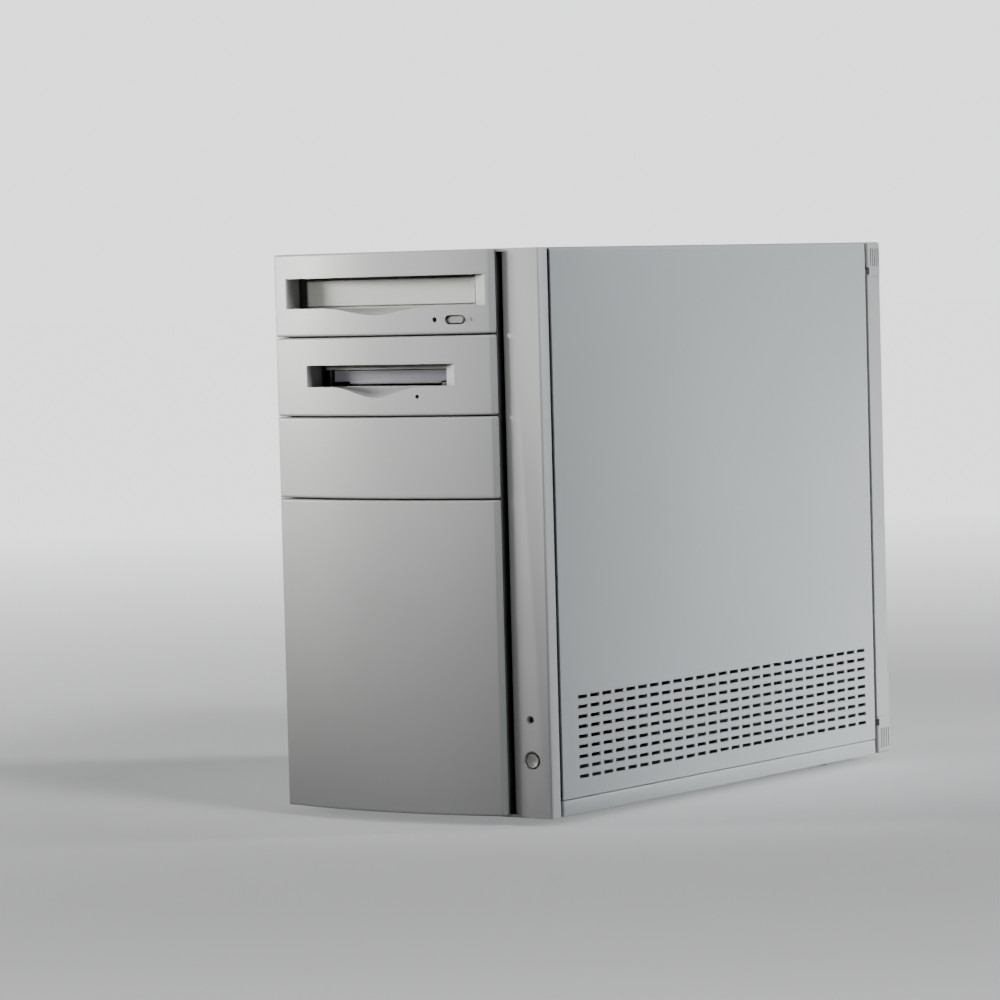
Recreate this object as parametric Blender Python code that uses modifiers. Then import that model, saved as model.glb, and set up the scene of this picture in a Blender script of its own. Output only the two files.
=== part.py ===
"""Mini-tower computer case with its drives, board, power supply and moving pieces.

Metres, +Z up. The front faces -Y and the hinged side door faces +X. The origin is on the
ground, at the middle of the footprint.
"""
import math

import bmesh
import bpy
from mathutils import Matrix, Vector

# ---------------------------------------------------------------- driving dimensions
HALF_WIDTH = 0.100
FOOT_HEIGHT = 0.005
TOP = 0.347
REAR = 0.211
STRIP_Y = -0.1937          # flat front strip beside the drive column
COLUMN_EDGE_Y = -0.2000    # left and right edges of the crowned drive column
COLUMN_APEX_Y = -0.2110    # crown of the drive column
COLUMN_LEFT = -0.0942
COLUMN_RIGHT = 0.0692
GROOVE_RIGHT = 0.0743
FLARE_RIGHT = 0.0787
BEZEL_BACK = -0.1845
PANEL_FRONT = -0.1815
PANEL_BACK = 0.1905
REAR_FRAME_FRONT = 0.1945
PANEL_BOTTOM = 0.0152
SHEET = 0.0012             # cover sheet thickness
STEEL = 0.0010             # chassis sheet thickness
WALL = 0.0025              # moulded plastic wall
GAP = 0.0003               # clearance between pieces that touch
SEAMS = (0.1969, 0.2472, 0.2960)   # joints between the four column pieces
SEAM_HALF = 0.0004
COLUMN_BOTTOM = 0.0060
CORNER_RADIUS = 0.0025
SHOULDER_RADIUS = 0.0030

BAY_CENTRE = -0.0125       # middle of the drive bays across the width
CD_CASE_LOW = (-0.0855, -0.1812, 0.2985)
CD_CASE_HIGH = (0.0605, 0.0080, 0.3395)
TRAY_FRONT_Y = -0.1885
TRAY_TRAVEL = 0.140
FLOPPY_CASE_LOW = (-0.0618, -0.1882, 0.2560)
FLOPPY_CASE_HIGH = (0.0398, -0.0400, 0.2814)
FLOPPY_FACE_FRONT = -0.1925
SHUTTER_HINGE = (-0.0108, -0.1903, 0.2745)

BUTTON_CENTRE = (0.0860, 0.0396)   # power button, X and Z
BUTTON_RADIUS = 0.0055
LAMP_CENTRE = (0.0854, 0.0642)     # power lamp, X and Z
LAMP_RADIUS = 0.0019

VENT_ROWS = 9
VENT_BOTTOM_Z = 0.0275
VENT_PITCH = 0.00603
VENT_HEIGHT = 0.0020
VENT_START_Y = -0.1635
VENT_END_Y = 0.1787

BOARD_LOW = (-0.0890, -0.0200, 0.0160)
BOARD_HIGH = (-0.0874, 0.1880, 0.2520)
SLOT_HEIGHTS = (0.0830, 0.0627, 0.0424)
PSU_LOW = (-0.0870, 0.0500, 0.2560)
PSU_HIGH = (0.0630, 0.1895, 0.3420)
PSU_FAN = (-0.0430, 0.2990)        # fan centre, X and Z
CPU_FAN = (0.0350, 0.1950)         # processor fan centre, Y and Z

# ---------------------------------------------------------------- clean scene, collections
for old in list(bpy.data.objects):
    bpy.data.objects.remove(old, do_unlink=True)

PARTS = bpy.data.collections.new("computer_tower")
CUTTERS = bpy.data.collections.new("cutters")
bpy.context.scene.collection.children.link(PARTS)
bpy.context.scene.collection.children.link(CUTTERS)


def make_material(name, colour, roughness, metallic=0.0):
    material = bpy.data.materials.new(name)
    material.use_nodes = True
    shader = material.node_tree.nodes["Principled BSDF"]
    shader.inputs["Base Color"].default_value = (*colour, 1.0)
    shader.inputs["Roughness"].default_value = roughness
    shader.inputs["Metallic"].default_value = metallic
    return material


FACE_PLASTIC = make_material("face_plastic", (0.50, 0.50, 0.47), 0.45)
PANEL_PAINT = make_material("panel_paint", (0.42, 0.44, 0.45), 0.50)
TRAY_PLASTIC = make_material("tray_plastic", (0.53, 0.53, 0.50), 0.45)
DARK_PLASTIC = make_material("dark_plastic", (0.03, 0.03, 0.03), 0.50)
SHUTTER_GREY = make_material("shutter_grey", (0.25, 0.25, 0.27), 0.45)
ZINC_STEEL = make_material("zinc_steel", (0.55, 0.56, 0.57), 0.38, 1.0)
ALUMINIUM = make_material("heatsink_aluminium", (0.60, 0.61, 0.62), 0.35, 1.0)
BOARD_GREEN = make_material("board_green", (0.03, 0.16, 0.08), 0.45)
SOCKET_IVORY = make_material("socket_ivory", (0.70, 0.68, 0.60), 0.50)
RUBBER = make_material("foot_rubber", (0.03, 0.03, 0.03), 0.85)
LAMP_LENS = make_material("lamp_lens", (0.06, 0.12, 0.06), 0.20)
CABLE_GREY = make_material("cable_grey", (0.45, 0.45, 0.44), 0.60)
WIRE_BLACK = make_material("wire_black", (0.05, 0.05, 0.05), 0.55)
CHROME = make_material("guard_chrome", (0.70, 0.70, 0.72), 0.20, 1.0)


# ---------------------------------------------------------------- shape helpers
def box_shape(low, high):
    return ("box", Vector(low), Vector(high))


def rod_shape(centre, axis, radius, length, sides=24, end_radius=None):
    end = radius if end_radius is None else end_radius
    return ("rod", Vector(centre), axis, radius, length, sides, end)


AXIS_TURNS = {
    "X": Matrix.Rotation(math.radians(90), 4, "Y"),
    "Y": Matrix.Rotation(math.radians(-90), 4, "X"),
    "Z": Matrix.Identity(4),
}


def fill_mesh(mesh, shapes, origin):
    """Write boxes and rods, given in world metres, into a mesh with its own origin."""
    work = bmesh.new()
    shift = Matrix.Translation(-Vector(origin))
    for shape in shapes:
        if shape[0] == "box":
            middle = (shape[1] + shape[2]) / 2
            size = shape[2] - shape[1]
            place = Matrix.Translation(middle) @ Matrix.Diagonal((*size, 1.0))
            bmesh.ops.create_cube(work, size=1.0, matrix=shift @ place)
        else:
            _, centre, axis, radius, length, sides, end = shape
            place = Matrix.Translation(centre) @ AXIS_TURNS[axis]
            bmesh.ops.create_cone(work, cap_ends=True, segments=sides, radius1=radius, radius2=end,
                                  depth=length, matrix=shift @ place)
    work.to_mesh(mesh)
    work.free()


def make_part(name, shapes, material, origin=(0.0, 0.0, 0.0)):
    mesh = bpy.data.meshes.new(name)
    fill_mesh(mesh, shapes[:1], origin)
    mesh.materials.append(material)
    part = bpy.data.objects.new(name, mesh)
    part.location = origin
    PARTS.objects.link(part)
    if len(shapes) > 1:
        combine(part, "UNION", shapes[1:])
    return part


def make_tool(name):
    """An empty cutter mesh, hidden from renders."""
    tool = bpy.data.objects.new(name, bpy.data.meshes.new(name))
    CUTTERS.objects.link(tool)
    tool.hide_render = True
    tool.display_type = "WIRE"
    return tool


def apply_tool(part, operation, tool, overlapping=False):
    modifier = part.modifiers.new(tool.name, "BOOLEAN")
    modifier.operation = operation
    modifier.object = tool
    modifier.solver = "EXACT"
    modifier.use_self = overlapping


def combine(part, operation, shapes, overlapping=True):
    tool = make_tool(f"{part.name}_{operation.lower()}_{len(part.modifiers)}")
    fill_mesh(tool.data, shapes, (0.0, 0.0, 0.0))
    apply_tool(part, operation, tool, overlapping)


def cut(part, *shapes):
    combine(part, "DIFFERENCE", list(shapes), overlapping=False)


def extrude_outline(name, points, low, high, plane="XY"):
    """Solid object from a closed flat outline, extruded from low to high along its normal."""
    curve = bpy.data.curves.new(name, "CURVE")
    curve.dimensions = "2D"
    curve.fill_mode = "BOTH"
    curve.extrude = (high - low) / 2
    spline = curve.splines.new("POLY")
    spline.points.add(len(points) - 1)
    for point, (across, along) in zip(spline.points, points):
        point.co = (across, along, 0.0, 1.0)
    spline.use_cyclic_u = True
    holder = bpy.data.objects.new(f"{name}_curve", curve)
    bpy.context.scene.collection.objects.link(holder)
    bpy.context.view_layer.update()
    depsgraph = bpy.context.evaluated_depsgraph_get()
    mesh = bpy.data.meshes.new_from_object(holder.evaluated_get(depsgraph))
    bpy.data.objects.remove(holder, do_unlink=True)
    bpy.data.curves.remove(curve)
    middle = (low + high) / 2
    if plane == "XY":
        turn = Matrix.Translation((0.0, 0.0, middle))
    else:
        turn = Matrix.Translation((0.0, middle, 0.0)) @ Matrix.Rotation(math.radians(90), 4, "X")
    work = bmesh.new()
    work.from_mesh(mesh)
    bmesh.ops.remove_doubles(work, verts=work.verts, dist=0.00001)
    bmesh.ops.transform(work, matrix=turn, verts=work.verts)
    bmesh.ops.recalc_face_normals(work, faces=work.faces)
    work.to_mesh(mesh)
    work.free()
    mesh.name = name
    return bpy.data.objects.new(name, mesh)


def outline_part(name, points, low, high, material, plane="XY"):
    part = extrude_outline(name, points, low, high, plane)
    part.data.materials.clear()
    part.data.materials.append(material)
    PARTS.objects.link(part)
    return part


def outline_cut(part, label, points, low, high, plane="XY"):
    tool = extrude_outline(f"{part.name}_{label}", points, low, high, plane)
    CUTTERS.objects.link(tool)
    tool.hide_render = True
    tool.display_type = "WIRE"
    apply_tool(part, "DIFFERENCE", tool)


def round_edges(part, width, segments=2):
    modifier = part.modifiers.new("round_edges", "BEVEL")
    modifier.width = width
    modifier.segments = segments
    modifier.limit_method = "ANGLE"
    modifier.angle_limit = math.radians(40)


def smooth_round(part):
    part.data.shade_smooth()
    part.data.set_sharp_from_angle(angle=math.radians(35))


def arc(centre, radius, start, end, steps):
    """Points of an arc in a plane, angles in degrees."""
    points = []
    for step in range(steps + 1):
        angle = math.radians(start + (end - start) * step / steps)
        points.append((centre[0] + radius * math.cos(angle), centre[1] + radius * math.sin(angle)))
    return points


# ---------------------------------------------------------------- crowned drive column
COLUMN_MIDDLE = (COLUMN_RIGHT + COLUMN_LEFT) / 2
COLUMN_HALF = (COLUMN_RIGHT - COLUMN_LEFT) / 2
CROWN = COLUMN_EDGE_Y - COLUMN_APEX_Y
CROWN_RADIUS = (COLUMN_HALF ** 2 + CROWN ** 2) / (2 * CROWN)
CROWN_CENTRE_Y = COLUMN_APEX_Y + CROWN_RADIUS


def crown_y(x, inset=0.0):
    """Front surface of the drive column at x, or a surface that far behind it."""
    return CROWN_CENTRE_Y - math.sqrt((CROWN_RADIUS - inset) ** 2 - (x - COLUMN_MIDDLE) ** 2)


def column_outline(inset, back, steps=16):
    """Plan of the column: its crowned front, brought in by inset, and a flat back."""
    left = COLUMN_LEFT + inset
    right = COLUMN_RIGHT - inset
    points = []
    for step in range(steps + 1):
        x = left + (right - left) * step / steps
        points.append((x, crown_y(x, inset)))
    points.append((right, back))
    points.append((left, back))
    return points


def column_piece(name, bottom, top):
    piece = outline_part(name, column_outline(0.0, STRIP_Y - GAP), bottom, top, FACE_PLASTIC)
    round_edges(piece, 0.0012)
    return piece


def hollow_back(piece, label, bottom, top):
    outline_cut(piece, label, column_outline(WALL, STRIP_Y + 0.002), bottom, top)


def recess_plan(lip_left, lip_right, left, right, throat):
    """Plan of a drive opening whose sides flare out towards the lip."""
    front = COLUMN_APEX_Y - 0.003
    slope_left = (lip_left - left) / (crown_y(lip_left) - throat)
    slope_right = (lip_right - right) / (crown_y(lip_right) - throat)
    far_left = left + slope_left * (front - throat)
    far_right = right + slope_right * (front - throat)
    back = STRIP_Y + 0.002
    return [(far_left, front), (left, throat), (left, back), (right, back), (right, throat), (far_right, front)]


def finger_dip(centre, half_width, rim, depth, steps=14):
    """Bell-shaped outline in X and Z that hangs below an opening's rim."""
    points = [(centre + half_width, rim + 0.002), (centre - half_width, rim + 0.002)]
    for step in range(steps + 1):
        share = step / steps
        x = centre - half_width + 2 * half_width * share
        points.append((x, rim - depth * math.sin(math.pi * share) ** 2))
    return points


def pill(centre_x, centre_z, length, height, steps=6):
    radius = height / 2
    run = (length - height) / 2
    points = arc((centre_x + run, centre_z), radius, -90, 90, steps)
    points += arc((centre_x - run, centre_z), radius, 90, 270, steps)
    return points


def build_column():
    lower = column_piece("lower_panel", COLUMN_BOTTOM, SEAMS[0] - SEAM_HALF)
    hollow_back(lower, "hollow", COLUMN_BOTTOM + WALL, SEAMS[0] - SEAM_HALF - WALL)
    cover = column_piece("bay_cover", SEAMS[0] + SEAM_HALF, SEAMS[1] - SEAM_HALF)
    hollow_back(cover, "hollow", SEAMS[0] + SEAM_HALF + WALL, SEAMS[1] - SEAM_HALF - WALL)

    floppy = column_piece("floppy_bezel", SEAMS[1] + SEAM_HALF, SEAMS[2] - SEAM_HALF)
    hollow_back(floppy, "upper_hollow", 0.2822, SEAMS[2] - SEAM_HALF - WALL)
    hollow_back(floppy, "lower_hollow", SEAMS[1] + SEAM_HALF + WALL, 0.2565)
    outline_cut(floppy, "opening", recess_plan(-0.0604, 0.0444, -0.0592, 0.0345, -0.1990), 0.2654, 0.2787)
    outline_cut(floppy, "dip", finger_dip(-0.0105, 0.0320, 0.2654, 0.0065), -0.214, -0.190, "XZ")

    disc = column_piece("cd_bezel", SEAMS[2] + SEAM_HALF, TOP)
    hollow_back(disc, "upper_hollow", 0.3352, TOP - WALL)
    hollow_back(disc, "lower_hollow", SEAMS[2] + SEAM_HALF + WALL, 0.3082)
    outline_cut(disc, "opening", recess_plan(-0.0828, 0.0654, -0.0795, 0.0545, -0.1965), 0.3135, 0.3320)
    outline_cut(disc, "dip", finger_dip(-0.0095, 0.0390, 0.3135, 0.0045), -0.214, -0.190, "XZ")
    outline_cut(disc, "button_hole", pill(0.04605, 0.30505, 0.0131, 0.0053), -0.214, -0.190, "XZ")
    cut(disc, rod_shape((0.0327, -0.202, 0.3052), "Y", 0.0010, 0.024, 10))

    button = outline_part("cd_eject_button", pill(0.04605, 0.30505, 0.0123, 0.0045),
                          -0.2060, -0.1872, TRAY_PLASTIC, "XZ")
    button.data.transform(Matrix.Translation((-0.04605, 0.2060, -0.30505)))
    button.location = (0.04605, -0.2060, 0.30505)


# ---------------------------------------------------------------- front frame, controls
def build_front_frame():
    frame = make_part("bezel_frame", [
        box_shape((-HALF_WIDTH, STRIP_Y, FOOT_HEIGHT), (HALF_WIDTH, BEZEL_BACK, TOP)),
        box_shape((-0.0955, BEZEL_BACK - 0.002, 0.0150), (0.0955, -0.1803, 0.3425)),
    ], FACE_PLASTIC)
    round_edges(frame, 0.0010, 1)
    cut(frame,
        box_shape((-0.0870, -0.200, 0.1985), (0.0625, -0.170, 0.3405)),
        box_shape((-0.0850, -0.200, 0.0200), (0.0600, -0.170, 0.1900)),
        box_shape((0.0775, -0.1912, 0.0175), (0.0930, -0.170, 0.3400)),
        box_shape((COLUMN_RIGHT, -0.200, 0.0066), (GROOVE_RIGHT, -0.1875, 0.3452)))
    flare = [(GROOVE_RIGHT - 0.0004, -0.1890), (FLARE_RIGHT, STRIP_Y - 0.0005), (GROOVE_RIGHT - 0.0004, STRIP_Y - 0.0005)]
    outline_cut(frame, "flare", flare, 0.0066, 0.3452)
    corner = arc((-HALF_WIDTH + SHOULDER_RADIUS, STRIP_Y + SHOULDER_RADIUS), SHOULDER_RADIUS, 270, 180, 5)
    corner += [(-HALF_WIDTH - 0.001, STRIP_Y + SHOULDER_RADIUS), (-HALF_WIDTH - 0.001, STRIP_Y - 0.001),
               (-HALF_WIDTH + SHOULDER_RADIUS, STRIP_Y - 0.001)]
    outline_cut(frame, "shoulder", corner, FOOT_HEIGHT - 0.001, TOP + 0.001)
    cut(frame, rod_shape((BUTTON_CENTRE[0], -0.190, BUTTON_CENTRE[1]), "Y", BUTTON_RADIUS + 0.0006, 0.014, 28))
    cut(frame, rod_shape((LAMP_CENTRE[0], -0.190, LAMP_CENTRE[1]), "Y", LAMP_RADIUS + GAP, 0.014, 16))

    button_x, button_z = BUTTON_CENTRE
    button = make_part("power_button", [
        rod_shape((button_x, -0.1904, button_z), "Y", BUTTON_RADIUS, 0.0056, 28),
    ], FACE_PLASTIC, (button_x, STRIP_Y + 0.0005, button_z))
    round_edges(button, 0.0006, 2)
    smooth_round(button)
    lamp_x, lamp_z = LAMP_CENTRE
    lens = make_part("power_led_lens", [rod_shape((lamp_x, -0.1897, lamp_z), "Y", LAMP_RADIUS, 0.0060, 16)], LAMP_LENS)
    smooth_round(lens)
    make_part("power_switch", [
        box_shape((0.0800, -0.1832, 0.0330), (0.0920, -0.1803, 0.0462)),
        rod_shape((button_x, -0.1838, button_z), "Y", 0.0022, 0.0020, 12),
    ], DARK_PLASTIC)


# ---------------------------------------------------------------- sheet metal and covers
def build_chassis():
    base = make_part("chassis_base", [box_shape((-0.0958, -0.1788, 0.0055), (0.0958, 0.1895, 0.0142))], ZINC_STEEL)
    cut(base, box_shape((-0.0946, -0.1776, 0.0067), (0.0946, 0.1883, 0.0200)))

    front = make_part("chassis_front", [box_shape((-0.0955, -0.1800, 0.0146), (0.0955, -0.1790, 0.3440))], ZINC_STEEL)
    speaker_slots = []
    for row in range(5):
        z = 0.0500 + 0.0080 * row
        speaker_slots.append(box_shape((-0.0500, -0.185, z), (0.0100, -0.175, z + 0.0040)))
    cut(front, box_shape((-0.0866, -0.185, 0.1984), (0.0618, -0.175, 0.3405)), *speaker_slots)

    tray = make_part("motherboard_tray", [
        box_shape((-0.0965, -0.1786, 0.0146), (-0.0955, 0.1892, 0.3440)),
    ], ZINC_STEEL)
    posts = []
    for y in (0.000, 0.090, 0.175):
        for z in (0.0280, 0.1340, 0.2400):
            posts.append(rod_shape((-0.09265, y, z), "X", 0.0030, 0.0067, 8))
    combine(tray, "UNION", posts, overlapping=False)

    cage = make_part("drive_cage", [box_shape((-0.0870, -0.1786, 0.1960), (0.0620, -0.0300, 0.3430))], ZINC_STEEL)
    cut(cage, box_shape((-0.0860, -0.1900, 0.1970), (0.0610, -0.0200, 0.3500)))
    hard_cage = make_part("hdd_cage", [box_shape((-0.0633, -0.1720, 0.1450), (0.0413, -0.0300, 0.1957))], ZINC_STEEL)
    cut(hard_cage, box_shape((-0.0622, -0.1800, 0.1400), (0.0402, -0.0200, 0.1946)))

    for side, name in ((1, "base_rail_right"), (-1, "base_rail_left")):
        ends = sorted((side * 0.0963, side * HALF_WIDTH))
        rail = make_part(name, [box_shape((ends[0], PANEL_FRONT, FOOT_HEIGHT), (ends[1], PANEL_BACK, 0.0147))],
                         PANEL_PAINT)
        round_edges(rail, 0.0006, 1)


def build_rear():
    panel = make_part("chassis_rear", [box_shape((-0.0955, 0.1900, 0.0146), (0.0955, 0.1910, 0.3440))], ZINC_STEEL)
    slots = [box_shape((-0.0780, 0.185, z - 0.0065), (0.0200, 0.200, z + 0.0065)) for z in SLOT_HEIGHTS]
    cut(panel,
        box_shape((-0.0820, 0.185, 0.2600), (0.0580, 0.200, 0.3380)),
        box_shape((-0.0875, 0.185, 0.0955), (-0.0431, 0.200, 0.2530)),
        *slots)

    frame = make_part("rear_frame", [
        box_shape((-HALF_WIDTH, REAR_FRAME_FRONT, FOOT_HEIGHT), (HALF_WIDTH, REAR, TOP)),
        box_shape((-0.0955, 0.1913, 0.0100), (0.0955, REAR_FRAME_FRONT + 0.002, 0.3420)),
    ], FACE_PLASTIC)
    round_edges(frame, 0.0015, 2)
    side_low, side_high = 0.0292, 0.3244
    cut(frame,
        box_shape((-0.0915, 0.180, 0.0146), (0.0915, 0.220, 0.3390)),
        box_shape((0.0994, 0.1935, side_low), (0.1050, 0.2120, side_high)),
        box_shape((-0.1050, 0.1935, side_low), (-0.0994, 0.2120, side_high)))

    shield = make_part("io_shield", [box_shape((-0.0872, 0.1886, 0.0958), (-0.0434, 0.1896, 0.2527))], ZINC_STEEL)
    cut(shield,
        box_shape((-0.0862, 0.185, 0.2148), (-0.0718, 0.195, 0.2452)),
        box_shape((-0.0862, 0.185, 0.1508), (-0.0728, 0.195, 0.2042)),
        box_shape((-0.0862, 0.185, 0.1098), (-0.0728, 0.195, 0.1412)))
    ports = make_part("ps2_ports", [box_shape((-0.0859, 0.1700, 0.2151), (-0.0721, 0.1925, 0.2449))], SHUTTER_GREY)
    cut(ports,
        rod_shape((-0.0790, 0.1900, 0.2225), "Y", 0.0045, 0.012, 16),
        rod_shape((-0.0790, 0.1900, 0.2375), "Y", 0.0045, 0.012, 16))
    for name, low, high in (("parallel_port", 0.1511, 0.2039), ("serial_port", 0.1101, 0.1409)):
        shell = make_part(name, [box_shape((-0.0859, 0.1720, low), (-0.0731, 0.1905, high))], ZINC_STEEL)
        combine(shell, "UNION", [box_shape((-0.0835, 0.1860, low + 0.0070), (-0.0755, 0.1955, high - 0.0070))])

    for number, height in enumerate(SLOT_HEIGHTS, 1):
        name = "graphics_bracket" if number == 1 else f"slot_cover_{number - 1}"
        low = (-0.0850, 0.1770, height - 0.0092)
        high = (0.0272, 0.1896, height + 0.0092)
        bracket = make_part(name, [box_shape(low, high)], ZINC_STEEL)
        cut(bracket, box_shape((-0.0900, 0.1700, height - 0.02), (0.0262, 0.1886, height + 0.02)))


def sheet_corner(side, inner_end):
    """Section in X and Z of a side sheet that rounds over into the top sheet."""
    centre = (side * (HALF_WIDTH - CORNER_RADIUS), TOP - CORNER_RADIUS)
    turn = (0, 90) if side > 0 else (180, 90)
    outer = arc(centre, CORNER_RADIUS, turn[0], turn[1], 5)
    inner = arc(centre, CORNER_RADIUS - SHEET, turn[1], turn[0], 5)
    points = [(side * HALF_WIDTH, PANEL_BOTTOM)]
    points += outer
    points += [(inner_end, TOP), (inner_end, TOP - SHEET)]
    points += inner
    points.append((side * (HALF_WIDTH - SHEET), PANEL_BOTTOM))
    return points


def build_covers():
    outline_part("cover_shell", sheet_corner(-1, 0.0962), PANEL_FRONT, PANEL_BACK, PANEL_PAINT, "XZ")
    door = outline_part("side_door", sheet_corner(1, 0.0969), PANEL_FRONT, PANEL_BACK, PANEL_PAINT, "XZ")
    vents = []
    runs = 4
    bridge = 0.0040
    run = (VENT_END_Y - VENT_START_Y - bridge * (runs - 1)) / runs
    for row in range(VENT_ROWS):
        z = VENT_BOTTOM_Z + row * VENT_PITCH
        for step in range(runs):
            start = VENT_START_Y + step * (run + bridge)
            vents.append(box_shape((0.095, start, z - VENT_HEIGHT / 2), (0.105, start + run, z + VENT_HEIGHT / 2)))
    cut(door, *vents)
    hinge = (HALF_WIDTH, 0.0, PANEL_BOTTOM)
    door.data.transform(Matrix.Translation(-Vector(hinge)))
    door.location = hinge


# ---------------------------------------------------------------- drives
def build_cd_drive():
    case = make_part("cd_drive_case", [box_shape(CD_CASE_LOW, CD_CASE_HIGH)], ZINC_STEEL)
    cut(case, box_shape((-0.0845, -0.1900, 0.2995), (0.0595, 0.0070, 0.3385)))
    face = make_part("cd_drive_face", [box_shape((-0.0855, -0.1855, 0.2985), (0.0605, -0.1815, 0.3395))], TRAY_PLASTIC)
    cut(face, box_shape((-0.0775, -0.1900, 0.3150), (0.0525, -0.1700, 0.3301)))
    tray = make_part("cd_tray", [
        box_shape((-0.0765, -0.1862, 0.3160), (0.0515, -0.0300, 0.3240)),
        box_shape((-0.0780, TRAY_FRONT_Y, 0.3146), (0.0530, -0.1860, 0.3305)),
    ], TRAY_PLASTIC, (BAY_CENTRE, TRAY_FRONT_Y, 0.3200))
    cut(tray,
        rod_shape((BAY_CENTRE, -0.1190, 0.3250), "Z", 0.0605, 0.0060, 40),
        box_shape((-0.0225, -0.1350, 0.3000), (-0.0025, -0.0600, 0.3300)))


def build_floppy_drive():
    case = make_part("floppy_drive_case", [box_shape(FLOPPY_CASE_LOW, FLOPPY_CASE_HIGH)], ZINC_STEEL)
    cut(case, box_shape((-0.0608, -0.1950, 0.2570), (0.0388, -0.0410, 0.2804)))
    face = make_part("floppy_drive_face", [
        box_shape((-0.0618, FLOPPY_FACE_FRONT, 0.2560), (0.0398, -0.1885, 0.2814)),
    ], FACE_PLASTIC)
    cut(face,
        box_shape((-0.0572, -0.2000, 0.2640), (0.0356, -0.1800, 0.2755)))
    hinge_x, hinge_y, hinge_z = SHUTTER_HINGE
    shutter = make_part("floppy_shutter", [
        box_shape((-0.0562, hinge_y - 0.0006, 0.2662), (0.0346, hinge_y + 0.0006, 0.2745)),
        rod_shape((hinge_x, hinge_y, hinge_z), "X", 0.0006, 0.0908, 12),
    ], SHUTTER_GREY, SHUTTER_HINGE)
    cut(shutter,
        box_shape((-0.0600, -0.1950, 0.2600), (-0.0470, -0.1850, 0.2680)),
        box_shape((0.0260, -0.1950, 0.2600), (0.0400, -0.1850, 0.2680)))
    smooth_round(shutter)
    make_part("floppy_eject_button", [
        box_shape((0.0266, -0.1935, 0.2644), (0.0338, -0.1830, 0.2676)),
    ], DARK_PLASTIC, (0.0302, -0.1935, 0.2660))
    for name, left, right in (("floppy_bracket_left", -0.0857, -0.0621), ("floppy_bracket_right", 0.0401, 0.0607)):
        bracket = make_part(name, [box_shape((left, -0.1700, 0.2570), (right, -0.0500, 0.2760))], ZINC_STEEL)
        cut(bracket, box_shape((left + STEEL, -0.1800, 0.2580), (right - STEEL, -0.0400, 0.2900)))


def build_hard_drive():
    drive = make_part("hard_drive", [box_shape((-0.0618, -0.1700, 0.1550), (0.0398, -0.0240, 0.1804))], ALUMINIUM)
    round_edges(drive, 0.0012, 1)


# ---------------------------------------------------------------- board and cards
def build_board():
    make_part("motherboard", [box_shape(BOARD_LOW, BOARD_HIGH)], BOARD_GREEN)
    fan_y, fan_z = CPU_FAN
    make_part("cpu_socket", [
        box_shape((-0.0871, fan_y - 0.025, fan_z - 0.025), (-0.0831, fan_y + 0.025, fan_z + 0.025)),
    ], SOCKET_IVORY)
    sink = make_part("cpu_heatsink", [
        box_shape((-0.0828, fan_y - 0.025, fan_z - 0.025), (-0.0550, fan_y + 0.025, fan_z + 0.025)),
    ], ALUMINIUM)
    channels = []
    for step in range(8):
        y = fan_y - 0.0250 + 0.0030 + step * 0.0060
        channels.append(box_shape((-0.0780, y, 0.160), (-0.0500, y + 0.0030, 0.230)))
    cut(sink, *channels)
    frame = make_part("cpu_fan_frame", [
        box_shape((-0.0547, fan_y - 0.025, fan_z - 0.025), (-0.0447, fan_y + 0.025, fan_z + 0.025)),
    ], DARK_PLASTIC)
    cut(frame, rod_shape((-0.0497, fan_y, fan_z), "X", 0.0235, 0.020, 28))
    combine(frame, "UNION", [
        box_shape((-0.0547, fan_y - 0.0245, fan_z - 0.0015), (-0.0532, fan_y + 0.0245, fan_z + 0.0015)),
        box_shape((-0.0547, fan_y - 0.0015, fan_z - 0.0245), (-0.0532, fan_y + 0.0015, fan_z + 0.0245)),
        rod_shape((-0.05395, fan_y, fan_z), "X", 0.0095, 0.0015, 16),
    ])
    sockets = make_part("memory_sockets", [
        box_shape((-0.0871, -0.0150, 0.0600), (-0.0771, 0.0030, 0.2000)),
    ], SOCKET_IVORY)
    cut(sockets,
        box_shape((-0.0841, -0.0115, 0.0630), (-0.0700, -0.0095, 0.1970)),
        box_shape((-0.0841, -0.0025, 0.0630), (-0.0700, -0.0005, 0.1970)))
    chips = [box_shape((-0.0700, -0.0116, 0.0700 + 0.0155 * step), (-0.0600, -0.0089, 0.0810 + 0.0155 * step))
             for step in range(8)]
    module = make_part("memory_module", [
        box_shape((-0.0838, -0.0112, 0.0635), (-0.0545, -0.0099, 0.1965)),
    ], BOARD_GREEN)
    combine(module, "UNION", chips, overlapping=False)
    for number, height in enumerate(SLOT_HEIGHTS, 1):
        slot = make_part(f"expansion_slot_{number}", [
            box_shape((-0.0871, 0.0850, height - 0.0042), (-0.0760, 0.1700, height + 0.0042)),
        ], SOCKET_IVORY)
        cut(slot, box_shape((-0.0840, 0.0870, height - 0.0011), (-0.0700, 0.1680, height + 0.0011)))
    card_z = SLOT_HEIGHTS[0]
    card = make_part("graphics_card", [
        box_shape((-0.0755, 0.0350, card_z - 0.0008), (0.0180, 0.1870, card_z + 0.0008)),
    ], BOARD_GREEN)
    combine(card, "UNION", [
        box_shape((-0.0835, 0.0880, card_z - 0.0008), (-0.0750, 0.1670, card_z + 0.0008)),
        box_shape((-0.0450, 0.0900, card_z + 0.0005), (-0.0150, 0.1200, card_z + 0.0040)),
        box_shape((-0.0450, 0.0450, card_z + 0.0005), (-0.0370, 0.0700, card_z + 0.0030)),
        box_shape((-0.0250, 0.0450, card_z + 0.0005), (-0.0170, 0.0700, card_z + 0.0030)),
    ], overlapping=False)


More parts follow.
